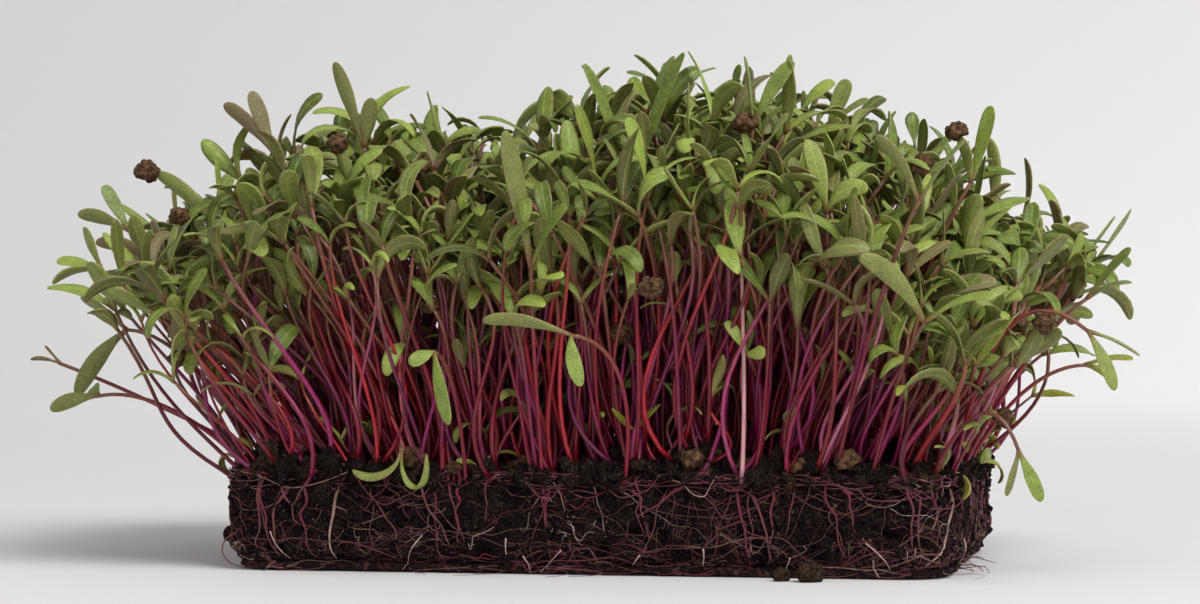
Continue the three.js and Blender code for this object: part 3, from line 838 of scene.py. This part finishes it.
def crowd(look):
    """The crowd of seedlings, as a batch of stems and two of leaves, with the cluster each belongs to. Each
    seedling leans and rises as the CAD clusters round it do, weighed by the inverse cube of their distance.
    Most reach nearly that height and those at the rim less. A few stay small and yellow in the shade, and
    some of those have fallen over the edge. One has hardly any red in its stem, which stands upright."""
    random = np.random.default_rng(CROWD_SEED)
    count = look.seedlings
    feet = scattered_feet(count, random)
    cluster_feet, leans, rises = read_lean()
    gap = np.linalg.norm(feet[:, None] - cluster_feet[None], axis=-1)
    weight = 1 / (gap + 6 * MM) ** 3
    weight /= weight.sum(axis=1, keepdims=True)
    u, v = (feet / SOIL_HIGH[:2]).T
    rim = np.maximum(np.abs(u), np.abs(v)) > 0.88
    stunted = random.random(count) < 0.2
    highest = 0.84 + 0.26 * smoothstep(-1.0, -0.1, v) - 0.1 * smoothstep(0.6, 1.0, np.maximum(np.abs(u), v))
    share = np.clip(highest - random.gamma(1.8, 0.085, count), 0.4, 1.1)
    share = np.where(stunted, random.uniform(0.12, np.where(rim, 0.42, 0.65)), share)
    fallen = stunted & rim & (np.random.default_rng(FALLEN_SEED).random(count) < 0.4)
    share = np.where(fallen, 0.35 * share, share)
    height = (weight @ rises - 5 * MM) * share * np.interp(u, *VIGOUR)
    stray = np.clip(random.normal(0, 0.12, (count, 2)), -0.25, 0.25) * (1 + stunted)[:, None]
    lean = weight @ leans + stray
    lean[:, 0] -= 0.22 * smoothstep(0.7, 1.0, -u)
    pale = (np.linalg.norm(feet - look.pale_stem_foot, axis=1) + stunted).argmin()
    feet[pale], lean[pale, 0] = look.pale_stem_foot, 0.0

    foot = np.column_stack([feet, top_height(np.column_stack([feet, np.zeros(count)])) - 1.2 * MM])
    crown = foot + np.column_stack([lean * height[:, None], height])
    widest = SOIL_HIGH[:2] + [24 * MM, 8 * MM]
    crown[:, :2] += 0.85 * (np.clip(crown[:, :2], -widest, widest) - crown[:, :2])
    growth = unit(crown - foot)
    bend = random.normal(0, 1, (count, 2, 3)) * [1, 1, 0.2] * (0.1 * height + 1 * MM)[:, None, None]
    bend *= [[[1.7], [1.1]]]
    bend[pale] *= 0.2
    rising = 0.25 * growth + 0.75 * UP
    inner = np.stack([0.33 * height[:, None] * rising, 0.67 * height[:, None] * growth], axis=1)
    control = np.concatenate([foot[:, None], foot[:, None] + inner + bend, crown[:, None]], axis=1)
    growth = unit(unit(control[:, 3] - control[:, 2]) + 0.35 * UP)

    young = random.random(count) < 0.36
    tint = np.clip(random.normal(0.5, 0.24, count), 0, 1)
    brown = np.clip(random.normal(0.02, 0.14, count) + (random.random(count) < 0.07) * 0.6, 0, 1)
    shaded = (stunted & rim) * 1.0
    yellow = np.clip(random.normal(0.02, 0.06, count) + shaded * random.uniform(0.1, 0.9, count), 0, 1)
    flush = np.clip(random.normal(0.36, 0.17, count), 0, 0.75)
    flush[pale] = 1.0
    radii = look.stem_width / 2 * random.normal(1, 0.12, count) * (1 - 0.25 * stunted)
    stems = stem_batch(control, radii, 14, 6, flush=flush, tint=random.random(count))
    heading = random.uniform(0, 2 * np.pi, count)
    leaves = []
    for side in (0, 1):
        small, usual = random.normal(0.66, 0.1, count), random.normal(1, 0.13, count)
        length = look.leaf_length * np.clip(np.where(young | stunted, small, usual), 0.4, 1.3)
        widths = look.leaf_width * np.clip(random.normal(1, 0.15, count), 0.6, 1.35)
        widths = widths * (1 - 0.2 * young - 0.4 * stunted)
        curl = random.random(count)
        last = np.where(curl < 0.2, random.uniform(20, 50, count), random.uniform(65, 115, count))
        last = np.where(curl > 0.7, random.uniform(115, 170, count), last) + 60 * fallen
        opening = np.radians(np.stack([random.uniform(5, 38, count), last], axis=-1))
        facing = heading + side * np.pi + random.normal(0, 0.35, count)
        sway, twist = random.normal(0, 0.5, count), random.normal(0, 0.55, (count, 2))
        lines, ends, sides = arching_leaves(
            crown - 0.4 * MM * growth, growth, length, facing, opening, sway, twist, LEAF_ROWS
        )
        cup = random.normal(0.08, 0.22, count)
        own_tint = np.clip(tint + random.normal(0, 0.08, count), 0, 1)
        facts = {"tint": own_tint, "brown": brown, "yellow": yellow}
        leaves.append(
            leaf_batch(lines, ends, sides, widths, look.leaf_thickness, cup, LEAF_ROWS, 8, **facts)
        )
    return stems, leaves, gap.argmin(axis=1)


def lone_seedling(node, look, random):
    """One seedling along the course its CAD solid gives, as batches of a stem and two leaves. A tip that
    stops just short of a seed husk is drawn out to it."""
    facts = {**USUAL_PARTICULARS, **PARTICULARS.get(node, {})}
    control, ends = read_seedling(node)
    crown = control[3]
    growth = unit(control[3] - control[2])
    tint = np.array([random.uniform(0.4, 0.85)])
    flush = np.array([random.uniform(0.2, 0.5)])
    batches = [stem_batch(control[None], np.array([look.stem_width / 2]), 24, 10, flush=flush, tint=tint)]
    colours = {"tint": tint, "brown": np.array([facts["brown"]]), "yellow": np.array([facts["yellow"]])}
    widths = np.array([CURLED_WIDTH * facts["width"] * MM])
    husks = np.array([np.mean(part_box(name), axis=0) for name in HUSKS])
    for tip, turn in zip(ends, facts["turns"]):
        held = husks[np.linalg.norm(husks - tip, axis=1).argmin()]
        if np.linalg.norm(held - tip) < 4.5 * MM:
            tip = tip + 0.5 * (held - tip)
        reach = tip - crown
        arch = 0.16 * np.linalg.norm(reach[:2]) * UP + 0.1 * np.linalg.norm(reach) * growth
        elbow = crown + 0.5 * reach + arch
        neck = crown - 0.4 * MM * growth
        heading = math.atan2(reach[1], reach[0])
        side = np.array([[-math.sin(heading), math.cos(heading), 0.0]])
        side = turned(side, unit(reach)[None], np.array([math.radians(turn)]))
        lines = bezier(np.stack([neck, elbow, tip])[None], FINE_LEAF_ROWS)
        ends, cup = np.stack([neck, tip])[None], np.array([0.15])
        batches.append(
            leaf_batch(lines, ends, side, widths, look.leaf_thickness, cup, FINE_LEAF_ROWS, 14, **colours)
        )
    return batches


def hooked_seedling(look):
    """A seedling that fell over the front edge: its stem bends down and its two leaves curl back up. Each is
    a cubic Bezier curve, in millimetres."""
    stem = np.array([[-39.0, -46, 20], [-41, -47, 27], [-38, -51, 32], [-37.4, -52.5, 26.5]]) * MM
    leaves = np.array([
        [[-37.4, -52.5, 26.5], [-37.5, -53.5, 21.5], [-43.5, -55, 18.6], [-47.6, -54, 21.9]],
        [[-37.2, -52.5, 26.5], [-38.5, -54.5, 17.5], [-30.0, -56, 14.0], [-31.6, -54.5, 25.4]],
    ]) * MM
    lines, ends = bezier(leaves, FINE_LEAF_ROWS), leaves[:, [0, 3]]
    sides, widths = np.array([[0.0, 0.75, 1.0], [0.9, 0.6, 0.3]]), np.array([2.2, 1.8]) * MM
    cup, red = np.array([0.2, 0.2]), np.array([0.3])
    facts = {"tint": np.array([0.6, 0.55]), "brown": np.zeros(2), "yellow": np.array([0.12, 0.1])}
    return [
        stem_batch(stem[None], np.array([0.3 * MM]), 20, 8, flush=red, tint=red),
        leaf_batch(lines, ends, sides, widths, look.leaf_thickness, cup, FINE_LEAF_ROWS, 12, **facts),
    ]


def seed_balls(centres, radii, seed, **facts):
    """Seed balls: knobbly lumps, a little flattened, with furrows between their corky knobs."""
    sizes = radii[:, None] * np.array([[1.0, 1.0, 0.86]])
    return lump_batch(centres, sizes, 17, 26, 0.3, seed, 0.5, **facts)


# ---- Operators ----


class MICROGREENS_OT_soil(Operator):
    """Presses the block of potting soil and scatters its crumbs"""

    bl_idname = "microgreens.soil"
    bl_label = "Soil"

    def execute(self, context):
        look = context.scene.microgreens_slab
        soil = material_from(potting_soil, look)
        rings = soil_rings(860, 38, 56)
        poles = np.array([[0, 0, SOIL_LOW[2]], [0, 0, float(top_height(np.zeros((1, 3)))[0])]])
        make_piece("soil_pressed", [ring_batch(rings[None], poles[None])], [soil], ["soil_block"])
        random = np.random.default_rng(SOIL_SEED)
        count = look.crumbs
        height = SOIL_LOW[2] + (SOIL_HIGH[2] - SOIL_LOW[2]) * random.random(count)
        places = np.column_stack([outline(random.random(count), wall_inset(height)), height])
        places += outwards(places) * (wall_relief(places) + 0.05 * MM)[:, None]
        above = self.on_top(count // 2, 1.5 * MM, 0.15 * MM, random)
        for name, centres in (("faces", places), ("top", above)):
            radii = np.clip(random.lognormal(math.log(0.45), 0.42, len(centres)), 0.22, 1.5) * MM
            sizes = radii[:, None] * random.uniform(0.6, 1.1, (len(centres), 3))
            centres[:, 2] = np.maximum(centres[:, 2], 1.5 * sizes[:, 2] + 0.1 * MM)
            make_piece("soil_crumbs_on_" + name, [lump_batch(centres, sizes, 3, 6, 0.5, 40)], [soil])
        radii = np.clip(random.lognormal(math.log(1.9), 0.42, look.clods), 1.0, 4.2) * MM
        centres = self.on_top(look.clods, 2.2 * MM, 0.0, random) + UP * (0.35 * radii)[:, None]
        sizes = radii[:, None] * random.uniform(0.7, 1.15, (look.clods, 3))
        dry = 0.7 * random.random((look.clods, 1, 1)) ** 2
        clods = lump_batch(centres, sizes, 11, 16, 0.7, 42, 0.45, dry=dry)
        make_piece("soil_clods", [clods], [soil])
        make_piece("soil_clods_at_rim", [self.broken_rim(look.rim_clods, random)], [soil])
        for name in ("soil_crumb_large", "soil_crumb_small"):
            low, high = (np.array(corner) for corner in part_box(name))
            size = (high - low) / 2
            centre = (low + high) / 2 * [1, 1, 0] + 0.8 * size[2] * UP
            loose = lump_batch(centre[None], size[None], 20, 30, 0.24, 44 + len(name), 0.4, dry=0.8)
            loose["points"][..., 2] = np.maximum(loose["points"][..., 2], 0.1 * MM)
            make_piece("loose_" + name, [loose], [soil], [name])
        return {"FINISHED"}

    def broken_rim(self, count, random):
        """Lumps heaped along the slab's top edge. Some sit back on the soil and some stick out over the
        wall."""
        back = random.uniform(-0.3, 1.0, count) ** 3 * 7 * MM + 0.6 * MM
        share = random.random(count)
        radii = np.clip(random.lognormal(math.log(1.5), 0.4, count), 0.8, 3.1) * MM
        centres = np.column_stack([outline(share, back), np.zeros(count)])
        over = smoothstep(2.5 * MM, 0.0, back)
        level = top_height(centres) * (1 - over) + (SOIL_HIGH[2] - 1.2 * MM) * over
        centres[:, 2] = level + radii * random.uniform(0.0, 1.1, count)
        sizes = radii[:, None] * random.uniform(0.7, 1.15, (count, 3))
        dry = 0.8 * random.random((count, 1, 1)) ** 2
        return lump_batch(centres, sizes, 10, 16, 0.75, 46, 0.42, dry=dry)

    def on_top(self, count, inset, lift, random):
        """Places on the soil's surface, most of them towards its edge."""
        plan = outline(random.random(count), np.full(count, inset)) * (random.random(count) ** 0.2)[:, None]
        places = np.column_stack([plan, np.zeros(count)])
        places[:, 2] = top_height(places) + lift
        return places


class MICROGREENS_OT_roots(Operator):
    """Lays the roots on the slab's sides, under it and beside it"""

    bl_idname = "microgreens.roots"
    bl_label = "Roots"

    def execute(self, context):
        look = context.scene.microgreens_slab
        root = material_from(fine_root, look)
        felt = material_from(root_felt, look)
        random = np.random.default_rng(ROOT_SEED)
        feet = scattered_feet(context.scene.microgreens_stand.seedlings, np.random.default_rng(CROWD_SEED))
        make_piece("root_mat_felt", [self.mat()], [felt], ["root_mat"])
        for name, batches in (
            ("roots_on_faces", [self.creeping(look.face_roots, random)]),
            ("roots_at_foot", [self.girdling(150, 0.0, 1, random)]),
            ("tap_roots", [self.tap_roots(feet, random)]),
            ("white_roots", [self.white_tips(26, random)]),
            ("roots_on_table", [self.straying(16, random), self.corner_loop()]),
            ("roots_at_rim", [self.girdling(170, SOIL_HIGH[2] + 1 * MM, -1, random)]),
        ):
            make_piece(name, batches, [root])
        return {"FINISHED"}

    def mat(self):
        """The mat: rings of the slab's plan, drawn in at the edge, with a rim that is uneven above its flat
        underside."""
        around = 900
        plan = outline(np.arange(around) / around, np.full(around, FOOT_INSET))
        top = MAT_TOP + 0.5 * MM
        rows = (
            (0.3, 0), (0.7, 0), (0.975, 0), (1, 0.3 * MM), (1.008, 0.8 * MM), (1.01, 1.3 * MM),
            (1.01, 1.9 * MM), (0.97, top), (0.5, top),
        )
        rings = np.array([np.column_stack([plan * shrink, np.full(around, high)]) for shrink, high in rows])
        rim = smoothstep(0.1 * MM, 0.6 * MM, rings[..., 2])[..., None]
        rings = rings + outwards(rings) * rim * (0.9 * MM * rough(rings, 2.5 * MM, 3, 61))[..., None]
        poles = np.array([[0, 0, 0], [0, 0, top]])
        return ring_batch(rings[None], poles[None])

    def on_wall(self, share, height, lift):
        """Points on the slab's wall, given by their share of the way round it and their height, and standing
        out of it by lift."""
        plan = outline(share, wall_inset(height))
        places = np.concatenate([plan, height[..., None]], axis=-1)
        return places + outwards(places) * (wall_relief(places, 0.25) + 0.35 * MM + lift)[..., None]

    def wander(self, share, height, reach, random):
        """Adds three waves to paths round and up the wall: one as tall as reach, one twice as short and half
        as tall, and one three times as short and a third as tall."""
        count, rows = np.broadcast(share, height).shape
        t = np.linspace(0, 1, rows)[None]
        for k in (1, 2, 3):
            tall = random.normal(0, reach / k, (2, count, 1))
            phase = random.uniform(0, 2 * np.pi, (2, count, 1))
            share = share + tall[0] / ROUND_THE_SLAB * np.sin(2 * np.pi * k * t + phase[0])
            height = height + tall[1] * np.sin(2 * np.pi * k * t + phase[1])
        return share, np.clip(height, 0.45 * MM, SOIL_HIGH[2] + 0.5 * MM)

    def creeping(self, count, random):
        """Fine roots that wander down the faces. Half of them start close to a few webs."""
        t = np.linspace(0, 1, 22)[None]
        webs = random.choice(ROOT_WEBS, count) + random.normal(0, 0.014, count)
        start = np.where(random.random(count) < 0.55, webs, random.random(count))[:, None]
        top = SOIL_LOW[2] + (SOIL_HIGH[2] - SOIL_LOW[2]) * random.beta(1.3, 1.6, count)[:, None]
        fall = (top - 0.8 * MM) * random.uniform(0.1, 1.0, count)[:, None]
        drift = random.normal(0, 0.022, count)[:, None] * t
        share, height = self.wander(start + drift, top - fall * t, 0.9 * MM, random)
        lift = 0.05 * MM + 0.3 * MM * np.abs(np.sin(3 * np.pi * t + random.uniform(0, 3, count)[:, None]))
        radii = random.uniform(0.035, 0.085, count)[:, None] * MM * (1.15 - 0.7 * t)
        tint = np.where(random.random(count) < 0.08, 0.0, np.clip(random.normal(0.42, 0.16, count), 0.12, 1))
        return tube_batch(self.on_wall(share, height, lift), radii, 4, tint=tint[:, None, None])

    def girdling(self, count, level, way, random):
        """Roots that turned at the tray's wall and ran round it, within a few millimetres of a level: above
        it if way is 1, below it if way is -1. Some loop away from it where the webs are."""
        t = np.linspace(-0.5, 0.5, 26)[None]
        length = random.uniform(0.015, 0.06, count)[:, None]
        height = random.gamma(1.3, 1.0, count)[:, None] * MM + 0.5 * MM + 0 * t
        start = random.random(count)[:, None]
        looping = random.random(count)[:, None] < 0.3
        webs = random.choice(ROOT_WEBS, (count, 1)) + random.normal(0, 0.01, (count, 1))
        start = np.where(looping, webs, start)
        height = height + looping * random.uniform(1, 6, (count, 1)) * MM * np.cos(np.pi * t) ** 2
        share, height = self.wander(start + length * t, level + way * height, 0.7 * MM, random)
        lift = 0.1 * MM + 0.4 * MM * random.random(count)[:, None] + 0 * t
        radii = random.uniform(0.06, 0.17, count)[:, None] * MM * (1.1 - np.abs(t))
        tint = np.clip(random.normal(0.5, 0.2, count), 0.1, 1)
        return tube_batch(self.on_wall(share, height, lift), radii, 4, tint=tint[:, None, None])

    def tap_roots(self, feet, random):
        """Tap roots of the crowd's outermost seedlings. Each starts below its seedling's foot, comes out of
        the nearest face and runs down it, thinning as it goes."""
        round_share = np.linspace(0, 1, 1200, endpoint=False)
        rim = outline(round_share, np.zeros(1200))
        gap = np.linalg.norm(feet[:, None] - rim[None], axis=-1)
        outer = (gap.min(axis=1) < 4.2 * MM) & (random.random(len(feet)) < 0.75)
        start = round_share[gap[outer].argmin(axis=1)][:, None]
        depth = gap[outer].min(axis=1)[:, None]
        count = len(start)
        t = np.linspace(0, 1, 26)[None]
        fall = random.uniform(9, 21.5, count)[:, None] * MM
        drift = random.normal(0, 0.013, count)[:, None] * t
        share, height = self.wander(start + drift, SOIL_HIGH[2] + 1.5 * MM - fall * t, 0.5 * MM, random)
        share = start + (share - share[:, :1])
        lift = 0.3 * MM - depth * (1 - smoothstep(0.0, 0.35, t))
        radii = random.uniform(0.08, 0.36, count)[:, None] * MM * (1 - t) ** 0.6 + 0.07 * MM
        radii += 0.22 * MM * np.exp(-10 * t)
        tint = np.clip(random.normal(0.9, 0.2, count), 0.4, 1)[:, None] - 0.45 * t
        return tube_batch(self.on_wall(share, height, lift), radii, 7, tint=tint[..., None])

    def white_tips(self, count, random):
        """Young roots, short, thick and white, low on the faces. Two stand out near the front left
        corner."""
        t = np.linspace(0, 1, 12)[None]
        start, height = random.random((count, 1)), random.uniform(3, 9, (count, 1)) * MM
        start[:2, 0], height[:2, 0] = (0.529, 0.572), (5.2 * MM, 8.2 * MM)
        slope = random.normal(0, 0.008, (count, 1))
        slope[:2, 0] = (-0.009, -0.006)
        height = height - np.minimum(height, random.uniform(2, 8, (count, 1)) * MM) * t
        lift = 0.4 * MM + 0.7 * MM * t
        radii = random.uniform(0.1, 0.2, (count, 1)) * MM * (1.2 - 0.8 * t)
        radii[:2] *= 1.4
        places = self.on_wall(start + slope * t, height + 0.5 * MM, lift)
        return tube_batch(places, radii, 6, tint=np.zeros((1, 1, 1)))

    def straying(self, count, random):
        """Roots that came out of the tray's holes and lie on the table beside the slab."""
        t = np.linspace(0, 1, 22)[None]
        at_right, at_front = random.uniform(-0.09, 0.0, 9), random.uniform(0.55, 0.8, count - 9)
        start = np.concatenate([at_right, at_front])[:, None]
        drift = random.normal(0, 0.02, count)[:, None] * t
        drift = drift + random.normal(0, 0.006, count)[:, None] * np.sin(7 * t)
        height = 1.8 * MM * (1 - t) ** 2 + 0.2 * MM
        height = height + 0.9 * MM * random.random(count)[:, None] * np.sin(np.pi * t) ** 2
        out = random.uniform(1, 8, count)[:, None] * MM * np.sin(0.5 * np.pi * t)
        radii = random.uniform(0.07, 0.15, count)[:, None] * MM * (1.1 - 0.6 * t)
        tint = np.clip(random.normal(0.4, 0.2, count), 0, 1)
        return tube_batch(self.on_wall(start + drift, height, out), radii, 5, tint=tint[:, None, None])

    def corner_loop(self):
        """A stray root that loops out of the front left corner, down to the table and back to the foot."""
        turn = np.linspace(-0.2, 1.25, 30) * np.pi
        along = np.array([-0.95, -0.3, 0.0])
        path = np.array([-73.0, -46.5, 4.4]) + 5.2 * np.sin(turn)[:, None] * along
        path = path + 3.9 * np.cos(turn)[:, None] * UP
        radii = np.linspace(0.2, 0.12, 30)[None] * MM
        return tube_batch(path[None] * MM, radii, 6, tint=np.full((1, 1, 1), 0.45))


class MICROGREENS_OT_crowd(Operator):
    """Grows the crowd of seedlings, one piece for each CAD cluster, and the seed husks its leaves hold"""

    bl_idname = "microgreens.crowd"
    bl_label = "Crowd"

    def execute(self, context):
        look = context.scene.microgreens_stand
        materials = [material_from(build, look) for build in (beet_stem, living_leaf)]
        stems, leaves, cluster = crowd(look)
        for number, node in enumerate(CLUSTERS):
            chosen = cluster == number
            if not chosen.any():
                raise RuntimeError(f"no seedling stands for {node}")
            name = node.replace("cluster", "greens")
            make_piece(name, (stems, *leaves), materials, [node], chosen)
        husk = material_from(corky_husk, look)
        lines = np.concatenate([batch["points"][:, [-4, -1]] for batch in leaves])
        tips, onwards = lines[:, 1], unit(lines[:, 1] - lines[:, 0])
        spots = np.insert(HUSK_SPOTS, 1, -42, axis=1) * MM
        near = np.linalg.norm((tips[:, None] - spots) * [1, 0.3, 1], axis=-1).argmin(axis=0)
        radii = np.random.default_rng(HELD_HUSK_SEED).uniform(1.9, 2.6, len(near)) * MM
        balls = seed_balls(tips[near] + onwards[near] * (0.6 * radii)[:, None], radii, 80)
        make_piece("seed_husks_on_leaves", [balls], [husk])
        return {"FINISHED"}


class MICROGREENS_OT_lone_seedlings(Operator):
    """Grows the seedlings that stand apart"""

    bl_idname = "microgreens.lone_seedlings"
    bl_label = "Lone Seedlings"

    def execute(self, context):
        look = context.scene.microgreens_stand
        materials = [material_from(build, look) for build in (beet_stem, living_leaf)]
        random = np.random.default_rng(LONE_SEED)
        for node in SINGLES:
            batches = lone_seedling(node, look, random)
            make_piece(node.replace("seedling", "lone"), batches, materials, [node])
        make_piece("hooked_seedling", hooked_seedling(look), materials)
        return {"FINISHED"}


class MICROGREENS_OT_husks(Operator):
    """Hangs the seed balls in the stand and drops some on the soil"""

    bl_idname = "microgreens.husks"
    bl_label = "Seed Husks"

    def execute(self, context):
        look = context.scene.microgreens_stand
        husk = material_from(corky_husk, look)
        for number, node in enumerate(HUSKS):
            low, high = (np.array(corner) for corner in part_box(node))
            radius = (high - low).max() / 2
            ball = seed_balls(((low + high) / 2)[None], np.array([radius]), 70 + number)
            make_piece(node + "_ball", [ball], [husk], [node])
        random = np.random.default_rng(LYING_HUSK_SEED)
        count = 60
        inset = 1.2 * MM + 9 * MM * random.random(count) ** 1.5
        places = np.column_stack([outline(random.random(count), inset), np.zeros(count)])
        places[:, 2] = top_height(places) + random.uniform(0.8, 2.6, count) * MM
        lying = seed_balls(places, random.uniform(1.7, 2.5, count) * MM, 90)
        make_piece("seed_husks_on_soil", [lying], [husk])
        return {"FINISHED"}


class MICROGREENS_OT_stage(Operator):
    """Sets up the table, the lights and the camera"""

    bl_idname = "microgreens.stage"
    bl_label = "Stage"

    def execute(self, context):
        look = context.scene.microgreens_stage
        self.table(look)
        self.lights(context.scene)
        turn = look.camera_turn
        ahead = np.array([-math.sin(turn), math.cos(turn), 0])
        right = np.array([math.cos(turn), math.sin(turn), 0])
        camera = bpy.data.objects.new("camera", bpy.data.cameras.new("camera"))
        camera.data.lens = look.lens
        camera.data.sensor_width = 36
        camera.data.clip_start = 0.01
        camera.location = -ahead * look.camera_distance - right * look.camera_shift + UP * look.camera_height
        camera.rotation_euler = (math.pi / 2, 0, turn)
        context.scene.collection.objects.link(camera)
        context.scene.camera = camera
        return {"FINISHED"}

    def table(self, look):
        """A round table top that curves up into a backdrop all about: a line, a quarter circle and a line,
        swept round the middle."""
        flat, bend, high, around = 1.5, 2.0, 2.6, 96
        turn = np.linspace(0, np.pi / 2, 17)
        reach = np.concatenate([[0.3, 0.9], flat + bend * np.sin(turn), [flat + bend]])
        up = np.concatenate([[0, 0], bend * (1 - np.cos(turn)), [high]])
        angle = 2 * np.pi * np.arange(around) / around
        reach, up = reach[:, None], up[:, None]
        rings = np.stack([reach * np.cos(angle), reach * np.sin(angle), up + 0 * angle], axis=-1)
        row, place = np.meshgrid(np.arange(len(reach) - 1) * around, np.arange(around), indexing="ij")
        after = (place + 1) % around
        quads = np.stack([row + place, row + around + place, row + around + after, row + after], axis=-1)
        faces = [*quads.reshape(-1, 4).tolist(), list(range(around))]
        mesh = bpy.data.meshes.new("table")
        mesh.from_pydata(rings.reshape(-1, 3).tolist(), [], faces)
        mesh.polygons.foreach_set("use_smooth", np.full(len(mesh.polygons), True))
        mesh.materials.append(material_from(matt_board, look))
        board = bpy.data.objects.new("table", mesh)
        bpy.context.scene.collection.objects.link(board)

    def lights(self, scene):
        """A large soft lamp to the upper right, a weak one in front, one on the backdrop and an even
        room."""
        world = bpy.data.worlds.new("room")
        world.use_nodes = True
        room = world.node_tree.nodes["Background"].inputs
        room["Color"].default_value = (1, 1, 1, 1)
        room["Strength"].default_value = 0.34
        scene.world = world
        for name, place, target, size, watts in (
            ("key", (1.0, -0.85, 1.55), (0, 0, 0.04), 1.2, 36.0),
            ("front", (-0.5, -1.4, 0.7), (0, 0, 0.05), 0.9, 2.5),
            ("backdrop", (0.5, 1.2, 1.5), (0.1, 3.3, 0.2), 1.0, 18.0),
        ):
            lamp = bpy.data.lights.new(name, "AREA")
            lamp.size, lamp.energy = size, watts
            holder = bpy.data.objects.new(name, lamp)
            holder.location = place
            aim = unit(np.array(target) - np.array(place))
            holder.rotation_euler = (math.acos(-aim[2]), 0, math.atan2(aim[1], aim[0]) - math.pi / 2)
            holder.visible_camera = False
            scene.collection.objects.link(holder)
        scene.view_settings.view_transform = "Standard"


class MICROGREENS_PT_panel(Panel):
    """Lists the pieces, each with its button"""

    bl_idname = "MICROGREENS_PT_panel"
    bl_label = "Microgreens"
    bl_space_type = "VIEW_3D"
    bl_region_type = "UI"
    bl_category = "Microgreens"

    def draw(self, context):
        for operator in OPERATORS:
            self.layout.operator(operator.bl_idname)


OPERATORS = (
    MICROGREENS_OT_stage,
    MICROGREENS_OT_soil,
    MICROGREENS_OT_roots,
    MICROGREENS_OT_crowd,
    MICROGREENS_OT_lone_seedlings,
    MICROGREENS_OT_husks,
)
SETTINGS = {
    "microgreens_stand": StandSettings,
    "microgreens_slab": SlabSettings,
    "microgreens_stage": StageSettings,
}


def register():
    for settings in SETTINGS.values():
        bpy.utils.register_class(settings)
    for name, settings in SETTINGS.items():
        setattr(bpy.types.Scene, name, PointerProperty(type=settings))
    for operator in (*OPERATORS, MICROGREENS_PT_panel):
        bpy.utils.register_class(operator)


def unregister():
    for operator in (MICROGREENS_PT_panel, *reversed(OPERATORS)):
        bpy.utils.unregister_class(operator)
    for name in SETTINGS:
        delattr(bpy.types.Scene, name)
    for settings in reversed(SETTINGS.values()):
        bpy.utils.unregister_class(settings)


def main():
    register()
    bpy.ops.microgreens.stage()
    bpy.ops.microgreens.soil()
    bpy.ops.microgreens.roots()
    bpy.ops.microgreens.crowd()
    bpy.ops.microgreens.lone_seedlings()
    bpy.ops.microgreens.husks()


if __name__ == "__main__":
    main()
